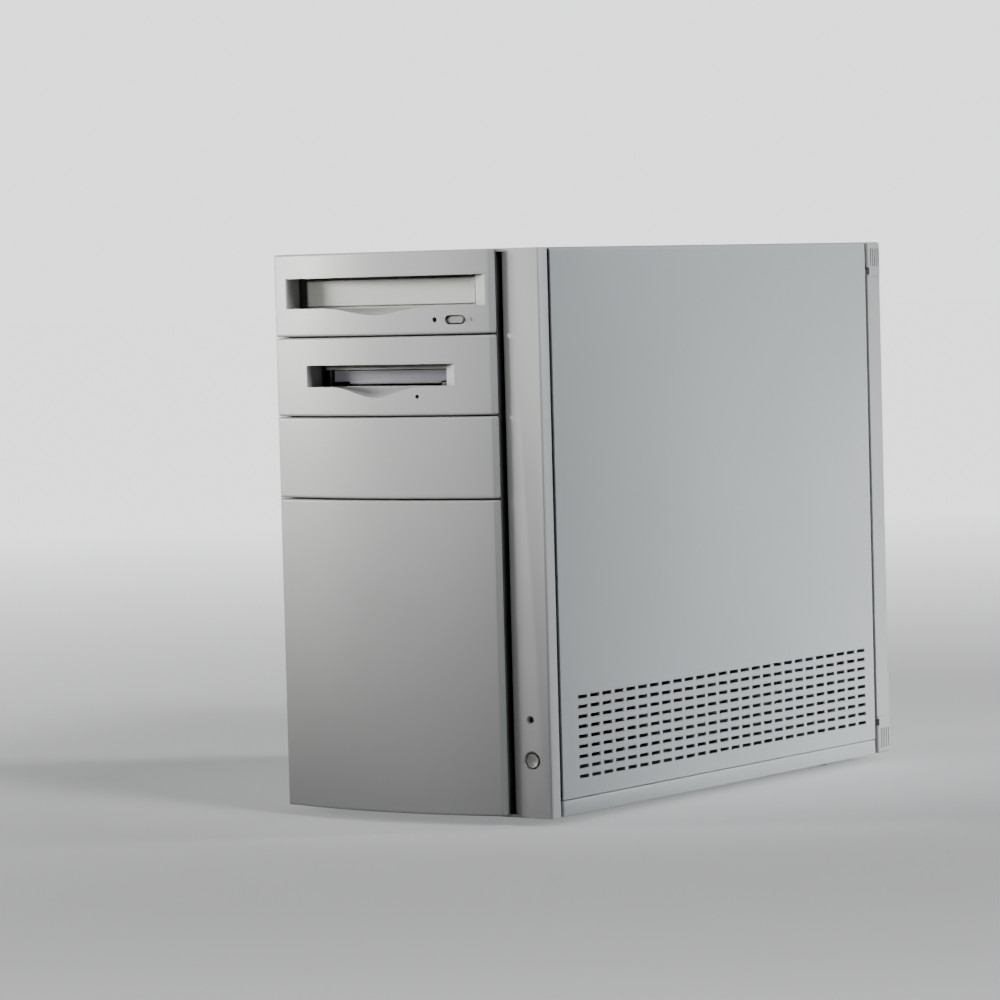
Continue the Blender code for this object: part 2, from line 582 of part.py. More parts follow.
def blades(name, centre, axis, hub_radius, tip_radius, depth, count, material):
    """Fan rotor: a hub with flat blades pitched about their own length."""
    hub = rod_shape(centre, axis, hub_radius, depth, 20)
    rotor = make_part(name, [hub], material, centre)
    tool = make_tool(f"{name}_blades")
    work = bmesh.new()
    length = tip_radius - hub_radius + 0.002
    for number in range(count):
        around = Matrix.Rotation(2 * math.pi * number / count, 4, "Z")
        pitch = Matrix.Rotation(math.radians(32), 4, "X")
        width = 2 * math.pi * hub_radius / count * 0.95
        place = around @ Matrix.Translation((hub_radius - 0.002 + length / 2, 0, 0)) @ pitch
        size = Matrix.Diagonal((length, width, 0.0012, 1.0))
        bmesh.ops.create_cube(work, size=1.0, matrix=place @ size)
    turn = Matrix.Translation(centre) @ AXIS_TURNS[axis]
    bmesh.ops.transform(work, matrix=turn, verts=work.verts)
    work.to_mesh(tool.data)
    work.free()
    apply_tool(rotor, "UNION", tool, overlapping=True)
    smooth_round(rotor)


# ---------------------------------------------------------------- power supply
def build_power_supply():
    fan_x, fan_z = PSU_FAN
    case = make_part("psu_case", [box_shape(PSU_LOW, PSU_HIGH)], ZINC_STEEL)
    inner_low = Vector(PSU_LOW) + Vector((STEEL, STEEL, STEEL))
    inner_high = Vector(PSU_HIGH) - Vector((STEEL, STEEL, STEEL))
    cut(case, box_shape(inner_low, inner_high))
    intake = [box_shape((-0.0700 + 0.0100 * step, 0.045, 0.2700), (-0.0650 + 0.0100 * step, 0.055, 0.3280))
              for step in range(12)]
    cut(case, rod_shape((fan_x, 0.1890, fan_z), "Y", 0.0370, 0.008, 36),
        box_shape((0.0150, 0.185, 0.3000), (0.0450, 0.195, 0.3220)),
        box_shape((0.0200, 0.185, 0.2690), (0.0400, 0.195, 0.2830)),
        *intake)
    combine(case, "UNION", [
        rod_shape((fan_x, 0.1869, fan_z), "Y", 0.0145, 0.0050, 24),
        box_shape((fan_x - 0.0380, 0.1884, fan_z - 0.0016), (fan_x + 0.0380, 0.1894, fan_z + 0.0016)),
        box_shape((fan_x - 0.0016, 0.1884, fan_z - 0.0380), (fan_x + 0.0016, 0.1894, fan_z + 0.0380)),
    ])
    blades("psu_fan_rotor", (fan_x, 0.1760, fan_z), "Y", 0.0140, 0.0350, 0.0160, 7, DARK_PLASTIC)

    guard = make_part("psu_fan_guard", [rod_shape((fan_x, 0.1907, fan_z), "Y", 0.0385, 0.0018, 36)], CHROME)
    rings = [(0.0365, 0.0305), (0.0285, 0.0225), (0.0205, 0.0145), (0.0125, 0.0)]
    for outer, inner in rings:
        cut(guard, rod_shape((fan_x, 0.1907, fan_z), "Y", outer, 0.004, 32))
        if inner > 0:
            edge = inner - 0.0002
            wire = rod_shape((fan_x, 0.1907, fan_z), "Y", edge, 0.0018, 32)
            combine(guard, "UNION", [wire], overlapping=False)
    combine(guard, "UNION", [
        box_shape((fan_x - 0.0370, 0.1900, fan_z - 0.0010), (fan_x + 0.0370, 0.1914, fan_z + 0.0010)),
        box_shape((fan_x - 0.0010, 0.1900, fan_z - 0.0370), (fan_x + 0.0010, 0.1914, fan_z + 0.0370)),
    ])

    inlet = make_part("power_inlet", [
        box_shape((0.0155, 0.1700, 0.3005), (0.0445, 0.1905, 0.3215)),
        box_shape((0.0130, 0.1898, 0.2985), (0.0470, 0.1920, 0.3235)),
    ], DARK_PLASTIC)
    cut(inlet, box_shape((0.0180, 0.1740, 0.3030), (0.0420, 0.2000, 0.3190)))
    combine(inlet, "UNION", [
        box_shape((0.0290, 0.1730, 0.3120), (0.0310, 0.1860, 0.3160)),
        box_shape((0.0220, 0.1730, 0.3060), (0.0240, 0.1860, 0.3100)),
        box_shape((0.0360, 0.1730, 0.3060), (0.0380, 0.1860, 0.3100)),
    ], overlapping=False)
    profile = [(0.1855, 0.2701), (0.1905, 0.2701), (0.1893, 0.2760), (0.1918, 0.2819), (0.1855, 0.2819)]
    rocker = extrude_outline("psu_rocker", profile, 0.0206, 0.0394, "XY")
    turn = Matrix.Rotation(math.radians(90), 4, "Z") @ Matrix.Rotation(math.radians(90), 4, "X")
    rocker.data.transform(turn)
    rocker.data.transform(Matrix.Translation((-0.0300, -0.1870, -0.2760)))
    rocker.location = (0.0300, 0.1870, 0.2760)
    rocker.data.materials.clear()
    rocker.data.materials.append(DARK_PLASTIC)
    PARTS.objects.link(rocker)


# ---------------------------------------------------------------- feet and internal leads
def build_feet():
    for name, x, y in (("foot_front_left", -0.0700, -0.1350), ("foot_front_right", 0.0350, -0.1350),
                       ("foot_rear_left", -0.0700, 0.1600), ("foot_rear_right", 0.0700, 0.1600)):
        foot = make_part(name, [rod_shape((x, y, 0.0026), "Z", 0.0090, 0.0052, 24, 0.0100)], RUBBER)
        smooth_round(foot)


def smooth_route(corners, steps):
    """Points of a Catmull-Rom curve through the given corners."""
    corners = [Vector(c) for c in corners]
    ends = [2 * corners[0] - corners[1]] + corners + [2 * corners[-1] - corners[-2]]
    points = []
    for index in range(1, len(ends) - 2):
        before, start, stop, after = ends[index - 1:index + 3]
        for step in range(steps):
            t = step / steps
            points.append(0.5 * ((2 * start) + (stop - before) * t
                                 + (2 * before - 5 * start + 4 * stop - after) * t ** 2
                                 + (3 * start - before - 3 * stop + after) * t ** 3))
    points.append(corners[-1])
    return points


def build_leads():
    """The drive ribbon and the supply harness, both held at each end inside the case."""
    route = smooth_route([(0, -0.0215, 0.1640), (0, -0.0080, 0.1650), (0, 0.0100, 0.1900), (0, 0.0200, 0.2400),
                          (0, 0.0260, 0.2900), (0, 0.0200, 0.3170), (0, 0.0095, 0.3190)], 4)
    half = 0.0006
    left_edge = []
    right_edge = []
    for index, point in enumerate(route):
        before = route[max(index - 1, 0)]
        after = route[min(index + 1, len(route) - 1)]
        along = (after - before).normalized()
        normal = Vector((0, -along.z, along.y)) * half
        left_edge.append((point.y + normal.y, point.z + normal.z))
        right_edge.append((point.y - normal.y, point.z - normal.z))
    ribbon = extrude_outline("ribbon_cable", left_edge + right_edge[::-1], -0.0300, 0.0180, "XY")
    turn = Matrix.Rotation(math.radians(90), 4, "Z") @ Matrix.Rotation(math.radians(90), 4, "X")
    ribbon.data.transform(turn)
    ribbon.data.materials.clear()
    ribbon.data.materials.append(CABLE_GREY)
    PARTS.objects.link(ribbon)

    corners = [(-0.0300, 0.0490, 0.2640), (-0.0290, 0.0400, 0.2600), (-0.0280, 0.0330, 0.2400),
               (-0.0330, 0.0450, 0.1900), (-0.0450, 0.0600, 0.1500), (-0.0600, 0.0600, 0.1360),
               (-0.0750, 0.0600, 0.1350)]
    points = smooth_route(corners, 4)
    curve = bpy.data.curves.new("psu_harness", "CURVE")
    curve.dimensions = "3D"
    curve.bevel_depth = 0.0040
    curve.bevel_resolution = 2
    curve.use_fill_caps = True
    spline = curve.splines.new("POLY")
    spline.points.add(len(points) - 1)
    for point, place in zip(spline.points, points):
        point.co = (*place, 1.0)
    curve.materials.append(WIRE_BLACK)
    harness = bpy.data.objects.new("psu_harness", curve)
    PARTS.objects.link(harness)
    make_part("board_power_plug", [box_shape((-0.0871, 0.0540, 0.1130), (-0.0770, 0.0660, 0.1570))], SOCKET_IVORY)


build_column()
build_front_frame()
build_chassis()
build_rear()
build_covers()
build_cd_drive()
build_floppy_drive()
build_hard_drive()
build_board()
blades("cpu_fan_rotor", (-0.0486, *CPU_FAN), "X", 0.0095, 0.0225, 0.0070, 7, DARK_PLASTIC)
build_power_supply()
build_feet()
build_leads()
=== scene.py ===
"""Looks of the mini-tower computer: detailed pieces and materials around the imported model."""

import math
import random

import bmesh
import bpy
from mathutils import Matrix, Vector


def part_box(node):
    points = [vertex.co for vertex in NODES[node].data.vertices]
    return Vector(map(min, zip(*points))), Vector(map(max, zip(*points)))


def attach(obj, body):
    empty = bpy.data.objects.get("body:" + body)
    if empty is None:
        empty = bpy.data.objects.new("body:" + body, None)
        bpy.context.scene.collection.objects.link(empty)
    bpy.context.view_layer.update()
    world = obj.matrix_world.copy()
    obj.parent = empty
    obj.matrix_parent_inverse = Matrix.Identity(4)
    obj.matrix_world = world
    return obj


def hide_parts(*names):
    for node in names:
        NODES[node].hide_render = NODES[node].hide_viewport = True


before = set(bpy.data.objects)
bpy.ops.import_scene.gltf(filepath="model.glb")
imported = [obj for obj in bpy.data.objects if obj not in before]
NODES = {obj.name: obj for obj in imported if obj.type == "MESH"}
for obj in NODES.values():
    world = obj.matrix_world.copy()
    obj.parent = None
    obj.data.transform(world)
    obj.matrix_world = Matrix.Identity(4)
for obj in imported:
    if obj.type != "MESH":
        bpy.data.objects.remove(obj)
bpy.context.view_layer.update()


# ---------------------------------------------------------------- sizes taken from the frame
def side(node, axis, end):
    """One face of a node's box: axis 0, 1 or 2, end 0 for the low side and 1 for the high side."""
    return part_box(node)[end][axis]


LEFT = side("bezel_frame", 0, 0)
RIGHT = side("bezel_frame", 0, 1)
BODY_BOTTOM = side("bezel_frame", 2, 0)
BODY_TOP = side("bezel_frame", 2, 1)
STRIP_Y = side("bezel_frame", 1, 0)
COLUMN_LEFT = side("lower_panel", 0, 0)
COLUMN_RIGHT = side("lower_panel", 0, 1)
COLUMN_APEX_Y = side("lower_panel", 1, 0)
COLUMN_BACK = side("lower_panel", 1, 1)
PANEL_FRONT = side("side_door", 1, 0)
PANEL_BACK = side("side_door", 1, 1)
PANEL_BOTTOM = side("side_door", 2, 0)
REAR = side("rear_frame", 1, 1)
COLUMN_EDGE_Y = COLUMN_APEX_Y + 0.0110
GROOVE_RIGHT = COLUMN_RIGHT + 0.0020
SHEET = 0.0012
WALL = 0.0025
PAST = 0.002   # how far a cutting solid stands past the face that it cuts

COLUMN_MIDDLE = (COLUMN_RIGHT + COLUMN_LEFT) / 2
COLUMN_HALF = (COLUMN_RIGHT - COLUMN_LEFT) / 2
CROWN = COLUMN_EDGE_Y - COLUMN_APEX_Y
CROWN_RADIUS = (COLUMN_HALF ** 2 + CROWN ** 2) / (2 * CROWN)
CROWN_CENTRE_Y = COLUMN_APEX_Y + CROWN_RADIUS


def centre_of(node):
    low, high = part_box(node)
    return [(near + far) / 2 for near, far in zip(low, high)]


def crown_y(x, inset=0.0):
    """Depth of the crowned column's front at a place across it."""
    return CROWN_CENTRE_Y - math.sqrt((CROWN_RADIUS - inset) ** 2 - (x - COLUMN_MIDDLE) ** 2)


# ---------------------------------------------------------------- materials
class Look:
    """A node material around one Principled shader, with short calls for the usual links."""

    def __init__(self, name, colour, roughness, metallic=0.0):
        self.material = bpy.data.materials.new(name)
        self.material.use_nodes = True
        self.tree = self.material.node_tree
        self.shader = self.tree.nodes["Principled BSDF"]
        self.set(self.shader, {"Base Color": (*colour, 1.0), "Roughness": roughness, "Metallic": metallic})
        self.place = self.add("ShaderNodeTexCoord").outputs["Object"]

    def set(self, node, settings):
        """Sets a node's input sockets, or its own properties where no socket has the name."""
        for key, value in settings.items():
            if key in node.inputs:
                node.inputs[key].default_value = value
            else:
                setattr(node, key, value)

    def add(self, kind, **settings):
        node = self.tree.nodes.new(kind)
        self.set(node, settings)
        return node

    def link(self, output, socket):
        self.tree.links.new(output, socket)

    def stretched(self, scale):
        mapping = self.add("ShaderNodeMapping", Scale=scale)
        self.link(self.place, mapping.inputs["Vector"])
        return mapping.outputs["Vector"]

    def noise(self, scale, detail=3.0, place=None):
        node = self.add("ShaderNodeTexNoise", Scale=scale, Detail=detail, Roughness=0.5)
        self.link(place or self.place, node.inputs["Vector"])
        return node.outputs["Fac"]

    def cells(self, scale, output="Color"):
        node = self.add("ShaderNodeTexVoronoi", feature="F1", Scale=scale)
        self.link(self.place, node.inputs["Vector"])
        return node.outputs[output]

    def ramp(self, value, low, high, start=0.3, stop=0.7):
        """Maps a value from start-stop to low-high, held at both ends."""
        node = self.add("ShaderNodeMapRange")
        self.set(node, {"From Min": start, "From Max": stop, "To Min": low, "To Max": high})
        self.link(value, node.inputs["Value"])
        return node.outputs["Result"]

    def mix(self, factor, first, second, blend="MIX"):
        node = self.add("ShaderNodeMix", data_type="RGBA", blend_type=blend)
        for socket, value in ((node.inputs[0], factor), (node.inputs[6], first), (node.inputs[7], second)):
            if isinstance(value, bpy.types.NodeSocket):
                self.link(value, socket)
            elif isinstance(value, tuple):
                socket.default_value = (*value, 1.0)
            else:
                socket.default_value = value
        return node.outputs[2]

    def mottled(self, scale, detail, first, second):
        """Two colours blended by a soft noise."""
        return self.mix(self.ramp(self.noise(scale, detail), 0.0, 1.0), first, second)

    def colour(self, output):
        self.link(output, self.shader.inputs["Base Color"])

    def roughness(self, scale, detail, low, high):
        """Roughness that wanders between two values."""
        self.link(self.ramp(self.noise(scale, detail), low, high), self.shader.inputs["Roughness"])

    def bumps(self, *layers):
        """Bump layers, each (height output, strength, distance in metres)."""
        last = None
        for height, strength, distance in layers:
            node = self.add("ShaderNodeBump", Strength=strength, Distance=distance)
            self.link(height, node.inputs["Height"])
            if last is not None:
                self.link(last, node.inputs["Normal"])
            last = node.outputs["Normal"]
        self.link(last, self.shader.inputs["Normal"])

    def painted_hollow_shade(self, base, shade_colour):
        """Base colour with painted shade: it darkens in seams, corners and hollows by ambient occlusion."""
        node = self.add("ShaderNodeAmbientOcclusion", Distance=0.006, samples=4)
        shade_amount = self.ramp(node.outputs["AO"], 0.8, 0.0, 0.15, 0.80)
        return self.mix(shade_amount, base, shade_colour)

    def worn_edges(self, base, worn, amount):
        """Base colour that pales where the surface turns sharply."""
        point = self.add("ShaderNodeNewGeometry").outputs["Pointiness"]
        sharp = self.ramp(point, 0.0, amount, 0.52, 0.62)
        return self.mix(sharp, base, worn)


def tint(colour, factor):
    return tuple(min(channel * factor, 1.0) for channel in colour)


def moulded(name, colour, roughness):
    """Moulded case plastic: spark-eroded grain, faint mottling, paler edges and painted shade in seams and
    hollows.
    """
    grain = 1500.0
    look = Look(name, colour, roughness)
    base = look.mottled(9.0, 4.0, tint(colour, 0.965), tint(colour, 1.03))
    speck = look.ramp(look.noise(grain, 2.0), 0.0, 1.0)
    base = look.mix(look.ramp(speck, 0.0, 0.35, 0.0, 1.0), base, tint(colour, 0.93))
    base = look.worn_edges(base, tint(colour, 1.18), 0.35)
    # Painted shade: seams and hollows go brown-black where ambient occlusion finds them.
    look.colour(look.painted_hollow_shade(base, (colour[0] * 0.16, colour[1] * 0.15, colour[2] * 0.12)))
    look.roughness(22.0, 5.0, roughness - 0.05, roughness + 0.06)
    look.bumps((look.noise(grain, 3.0), 0.35, 0.00003), (look.noise(60.0, 2.0), 0.06, 0.0004))
    look.set(look.shader, {"Specular IOR Level": 0.45})
    return look.material


def painted(name, colour, roughness):
    """Baked paint on sheet: fine orange peel and a few paler rubbed spots."""
    look = Look(name, colour, roughness)
    base = look.mottled(5.0, 5.0, tint(colour, 0.96), tint(colour, 1.035))
    flake = look.ramp(look.cells(2600.0), 0.0, 0.12, 0.0, 1.0)
    base = look.mix(flake, base, tint(colour, 0.84))
    look.colour(look.worn_edges(base, tint(colour, 1.25), 0.3))
    look.roughness(14.0, 6.0, roughness - 0.05, roughness + 0.07)
    look.bumps((look.noise(420.0, 2.0), 0.22, 0.00005), (look.noise(18.0, 2.0), 0.05, 0.0008))
    look.set(look.shader, {"Coat Weight": 0.08, "Coat Roughness": 0.3})
    return look.material


def zinc(name, colour, spangle):
    """Zinc-plated sheet: soft spangle and rolling streaks."""
    look = Look(name, colour, 0.38, 1.0)
    grains = look.ramp(look.cells(spangle), 0.0, 1.0, 0.1, 0.9)
    base = look.mix(grains, tint(colour, 0.90), tint(colour, 1.06))
    streak = look.ramp(look.noise(40.0, 4.0, look.stretched((1.0, 0.06, 1.0))), 0.0, 1.0)
    base = look.mix(look.ramp(streak, 0.0, 0.25, 0.0, 1.0), base, tint(colour, 0.87))
    look.colour(base)
    look.roughness(30.0, 5.0, 0.37, 0.45)
    look.bumps((look.noise(500.0, 3.0, look.stretched((1.0, 0.08, 1.0))), 0.20, 0.00003))
    return look.material


def brushed(name, colour, roughness):
    look = Look(name, colour, roughness, 1.0)
    streak = look.noise(900.0, 3.0, look.stretched((0.05, 1.0, 1.0)))
    look.colour(look.mix(look.ramp(streak, 0.0, 1.0), tint(colour, 0.86), tint(colour, 1.08)))
    look.roughness(25.0, 4.0, roughness - 0.07, roughness + 0.10)
    look.bumps((streak, 0.25, 0.00002))
    return look.material


def bright(name, colour, roughness):
    look = Look(name, colour, roughness, 1.0)
    look.colour(look.mottled(70.0, 5.0, tint(colour, 0.88), colour))
    look.roughness(70.0, 5.0, roughness, roughness + 0.12)
    look.bumps((look.noise(260.0, 3.0), 0.08, 0.00004))
    return look.material


def dull(name, colour, roughness, grain=800.0, strength=0.4):
    """Black mouldings, rubber and connector plastic."""
    look = Look(name, colour, roughness)
    dust = look.ramp(look.noise(35.0, 6.0), 0.0, 0.30, 0.45, 0.85)
    base = look.mix(dust, colour, tuple(channel * 0.6 + 0.06 for channel in colour))
    look.colour(look.worn_edges(base, tuple(channel * 0.7 + 0.12 for channel in colour), 0.25))
    look.roughness(50.0, 4.0, roughness - 0.08, roughness + 0.08)
    look.bumps((look.noise(grain, 3.0), strength, 0.00004))
    return look.material


def board_mask(name, colour):
    """Solder mask with fine copper tracks, vias and pad rows."""
    look = Look(name, colour, 0.32)
    lanes = look.add("ShaderNodeTexBrick", Scale=240.0)
    look.set(lanes, {"Mortar Size": 0.018, "Bias": 0.0, "Brick Width": 2.4, "Row Height": 0.42})
    turn = look.add("ShaderNodeMapping", Rotation=(0.0, math.radians(90), 0.0))
    look.link(look.place, turn.inputs["Vector"])
    bent = look.mix(0.0006, turn.outputs["Vector"], look.cells(28.0), "ADD")
    look.link(bent, lanes.inputs["Vector"])
    tracks = look.ramp(lanes.outputs["Fac"], 0.0, 0.55, 0.2, 0.9)
    base = look.mix(tracks, colour, tint(colour, 2.6))
    vias = look.ramp(look.cells(260.0, "Distance"), 0.75, 0.0, 0.06, 0.12)
    base = look.mix(vias, base, (0.55, 0.50, 0.33))
    look.colour(look.mix(look.ramp(look.noise(12.0, 4.0), 0.0, 0.35), base, tint(colour, 0.6)))
    look.roughness(40.0, 3.0, 0.26, 0.42)
    look.bumps((lanes.outputs["Fac"], 0.35, 0.00006))
    return look.material


def striped_cable(name, colour):
    """Ribbon cable: parallel ribbed cores."""
    look = Look(name, colour, 0.5)
    wave = look.add("ShaderNodeTexWave", wave_type="BANDS", bands_direction="X", wave_profile="SIN",
                    Scale=250.0)
    look.link(look.place, wave.inputs["Vector"])
    look.colour(look.mix(wave.outputs["Fac"], tint(colour, 0.6), tint(colour, 1.15)))
    look.roughness(60.0, 3.0, 0.42, 0.60)
    look.bumps((wave.outputs["Fac"], 0.8, 0.0003))
    return look.material


FACE = moulded("face_plastic", (0.386, 0.397, 0.392), 0.40)
FACE_WARM = moulded("drive_plastic", (0.430, 0.432, 0.405), 0.42)
PAINT = painted("panel_paint", (0.375, 0.400, 0.408), 0.42)
ZINC = zinc("zinc_steel", (0.56, 0.575, 0.58), 95.0)
ZINC_FINE = zinc("drive_steel", (0.50, 0.51, 0.52), 190.0)
ALU = brushed("cast_aluminium", (0.62, 0.63, 0.64), 0.32)
CHROME = bright("plated_wire", (0.72, 0.72, 0.74), 0.16)
BLACK = dull("black_moulding", (0.016, 0.016, 0.017), 0.48)
RUBBER = dull("foot_rubber", (0.018, 0.018, 0.018), 0.82, 500.0, 0.7)
IVORY = dull("connector_ivory", (0.62, 0.58, 0.46), 0.48)
KEY = moulded("key_plastic", (0.175, 0.175, 0.166), 0.50)
ROUND_KEY = moulded("round_key", (0.290, 0.292, 0.280), 0.42)
KEY_DARK = moulded("key_dark", (0.012, 0.012, 0.013), 0.70)
# Paler copy of the face plastic for the frame's side walls: painted light, as the sides catch more lamp
# light.
FACE_SIDE_LIT = moulded("frame_side_painted_light", (0.500, 0.515, 0.520), 0.40)
SHUTTER = moulded("shutter_grey", (0.205, 0.203, 0.228), 0.40)
MASK = board_mask("board_mask", (0.010, 0.070, 0.034))
CABLE = striped_cable("ribbon_grey", (0.42, 0.42, 0.41))
CHIP = dull("chip_epoxy", (0.022, 0.022, 0.024), 0.42, 1200.0, 0.3)
TIN = bright("tinned_lead", (0.66, 0.66, 0.64), 0.28)
GOLD = bright("gold_contact", (0.80, 0.58, 0.22), 0.22)
LENS = dull("lamp_lens", (0.010, 0.030, 0.012), 0.16, 400.0, 0.05)
LABEL = dull("blank_label", (0.72, 0.72, 0.70), 0.55, 900.0, 0.2)
BLUE = dull("cap_sleeve", (0.015, 0.03, 0.11), 0.35, 900.0, 0.2)
WIRE_COLOURS = [dull(f"wire_{name}", colour, 0.42, 900.0, 0.15) for name, colour in (
    ("red", (0.42, 0.02, 0.015)), ("black", (0.015, 0.015, 0.015)), ("yellow", (0.55, 0.38, 0.02)),
    ("orange", (0.55, 0.15, 0.01)), ("grey", (0.25, 0.25, 0.26)), ("green", (0.02, 0.22, 0.05)))]
COOL_WHITE = (0.97, 0.98, 1.0)


# ---------------------------------------------------------------- mesh helpers
SHARP = 32   # degrees between faces that still shade as one surface
AXIS_TURNS = {
    "X": Matrix.Rotation(math.radians(90), 4, "Y"),
    "Y": Matrix.Rotation(math.radians(-90), 4, "X"),
    "Z": Matrix.Identity(4),
}


def shape(add, *details):
    """A new bmesh with one solid in it, made by one of the add functions or by prism."""
    work = bmesh.new()
    add(work, *details)
    return work


def use_slot(faces, slot):
    for face in faces:
        face.material_index = slot


def add_box(work, low, high, slot=0, bevel=0.0, segments=2):
    low, high = Vector(low), Vector(high)
    place = Matrix.Translation((low + high) / 2) @ Matrix.Diagonal((*(high - low), 1.0))
    verts = bmesh.ops.create_cube(work, size=1.0, matrix=place)["verts"]
    use_slot({face for vert in verts for face in vert.link_faces}, slot)
    if bevel > 0:
        edges = list({edge for vert in verts for edge in vert.link_edges})
        result = bmesh.ops.bevel(work, geom=edges, offset=bevel, segments=segments, affect="EDGES",
                                 profile=0.5)
        use_slot(result["faces"], slot)


def add_block(work, centre, size, slot=0, bevel=0.0, segments=2):
    """A box given by its centre and its full size."""
    low = [at - length / 2 for at, length in zip(centre, size)]
    high = [at + length / 2 for at, length in zip(centre, size)]
    add_box(work, low, high, slot, bevel, segments)


def add_cylinder(work, place, radius, length, sides=24, slot=0):
    verts = bmesh.ops.create_cone(work, cap_ends=True, segments=sides, radius1=radius, radius2=radius,
                                  depth=length, matrix=place)["verts"]
    use_slot({face for vert in verts for face in vert.link_faces}, slot)


def add_rod(work, centre, axis, radius, length, sides=24, slot=0):
    add_cylinder(work, Matrix.Translation(centre) @ AXIS_TURNS[axis], radius, length, sides, slot)


def add_turned(work, profile, centre, axis, sides=48, slot=0):
    """Solid of revolution from (radius, height) points; closes at the axis."""
    place = Matrix.Translation(centre) @ AXIS_TURNS[axis]
    rings = []
    for radius, height in profile:
        if radius < 1e-7:
            rings.append([work.verts.new(place @ Vector((0, 0, height)))])
            continue
        ring = []
        for step in range(sides):
            angle = 2 * math.pi * step / sides
            spot = Vector((radius * math.cos(angle), radius * math.sin(angle), height))
            ring.append(work.verts.new(place @ spot))
        rings.append(ring)
    made = []
    for first, second in zip(rings, rings[1:]):
        for step in range(sides):
            following = (step + 1) % sides
            if len(first) == 1:
                made.append(work.faces.new((first[0], second[step], second[following])))
            elif len(second) == 1:
                made.append(work.faces.new((first[step], second[0], first[following])))
            else:
                made.append(work.faces.new((first[step], second[step], second[following], first[following])))
    use_slot(made, slot)
    bmesh.ops.recalc_face_normals(work, faces=made)


def add_loft(work, sections, slot=0):
    """Closed skin through sections of equal point count, capped at both ends."""
    rings = [[work.verts.new(point) for point in section] for section in sections]
    made = []
    count = len(rings[0])
    for first, second in zip(rings, rings[1:]):
        for step in range(count):
            following = (step + 1) % count
            made.append(work.faces.new((first[step], first[following], second[following], second[step])))
    made.append(work.faces.new(rings[0][::-1]))
    made.append(work.faces.new(rings[-1]))
    use_slot(made, slot)
    bmesh.ops.recalc_face_normals(work, faces=made)


def prism(work, points, low, high, plane="XY", slot=0):
    """Extrudes a flat outline from low to high: an XY outline along Z, an XZ outline along Y."""
    if plane == "XY":
        ends = [[(x, y, height) for x, y in points] for height in (low, high)]
    else:
        ends = [[(x, height, z) for x, z in points] for height in (low, high)]
    add_loft(work, ends, slot)


def finish_mesh(work, name, materials, sharp=SHARP):
    mesh = bpy.data.meshes.new(name)
    work.to_mesh(mesh)
    work.free()
    for material in materials:
        mesh.materials.append(material)
    mesh.shade_smooth()
    mesh.set_sharp_from_angle(angle=math.radians(sharp))
    piece = bpy.data.objects.new(name, mesh)
    bpy.context.scene.collection.objects.link(piece)
    return piece


def settle(piece):
    """Applies a piece's modifiers and shades it smooth up to the usual sharp angle."""
    bpy.context.view_layer.update()
    graph = bpy.context.evaluated_depsgraph_get()
    mesh = bpy.data.meshes.new_from_object(piece.evaluated_get(graph))
    old = piece.data
    piece.modifiers.clear()
    piece.data = mesh
    bpy.data.meshes.remove(old)
    mesh.shade_smooth()
    mesh.set_sharp_from_angle(angle=math.radians(SHARP))
    return piece


def carve(piece, work, operation="DIFFERENCE", overlapping=False):
    """Boolean of a piece with the solids in a bmesh, applied at once."""
    tool = finish_mesh(work, f"{piece.name}_tool", [])
    modifier = piece.modifiers.new("carve", "BOOLEAN")
    modifier.operation = operation
    modifier.object = tool
    modifier.solver = "EXACT"
    modifier.use_self = overlapping
    settle(piece)
    mesh = tool.data
    bpy.data.objects.remove(tool, do_unlink=True)
    bpy.data.meshes.remove(mesh)
    return piece


def round_off(piece, width, segments=3, angle=35):
    modifier = piece.modifiers.new("round_off", "BEVEL")
    modifier.width = width
    modifier.segments = segments
    modifier.limit_method = "ANGLE"
    modifier.angle_limit = math.radians(angle)
    modifier.miter_outer = "MITER_ARC"
    return settle(piece)


def even_normals(piece):
    """Keeps flat faces flat beside narrow rounded edges."""
    modifier = piece.modifiers.new("even_normals", "WEIGHTED_NORMAL")
    modifier.keep_sharp = True
    return piece


def paint_faces(piece, index, test):
    """Gives the faces whose centre meets the test another of the piece's materials."""
    for face in piece.data.polygons:
        if test(face.center):
            face.material_index = index


def place(piece, slot, stands_for=(), body="chassis"):
    """Fixes a piece to its body and hides the CAD nodes that it stands for; the slot is not used."""
    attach(piece, body)
    if stands_for:
        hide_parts(*stands_for)


def finish(work, name, materials, slot, stands_for=(), body="chassis", sharp=SHARP):
    place(finish_mesh(work, name, materials, sharp), slot, stands_for, body)


def bend(start, middle, end, steps):
    """Points on a quadratic curve, both ends included."""
    shares = [step / steps for step in range(steps + 1)]
    return [tuple((1 - t) ** 2 * start + 2 * t * (1 - t) * middle + t ** 2 * end) for t in shares]


def arc(centre, radius, start, end, steps):
    """Points on an arc, from one angle in degrees to another."""
    points = []
    for step in range(steps + 1):
        angle = math.radians(start + (end - start) * step / steps)
        points.append((centre[0] + radius * math.cos(angle), centre[1] + radius * math.sin(angle)))
    return points


def pill(centre_x, centre_z, length, height):
    """Outline of a slot with round ends."""
    steps = 10
    radius = height / 2
    run = (length - height) / 2
    points = arc((centre_x + run, centre_z), radius, -90, 90, steps)
    points += arc((centre_x - run, centre_z), radius, 90, 270, steps)
    return points


def assign(material, *nodes):
    """Gives CAD nodes that stay in view their finished material."""
    for node in nodes:
        NODES[node].data.materials.clear()
        NODES[node].data.materials.append(material)


# ---------------------------------------------------------------- crowned drive column
def column_outline(inset, back):
    """Plan of the column: crowned front, straight sides and back."""
    steps = 48
    left, right = COLUMN_LEFT + inset, COLUMN_RIGHT - inset
    across = [left + (right - left) * step / steps for step in range(steps + 1)]
    return [(x, crown_y(x, inset)) for x in across] + [(right, back), (left, back)]


def column_piece(node):
    """One crowned front piece with softly rounded edges, still solid."""
    work = shape(prism, column_outline(0.0, COLUMN_BACK), side(node, 2, 0), side(node, 2, 1))
    return round_off(finish_mesh(work, f"{node}_shell", [FACE]), 0.0016, 4)


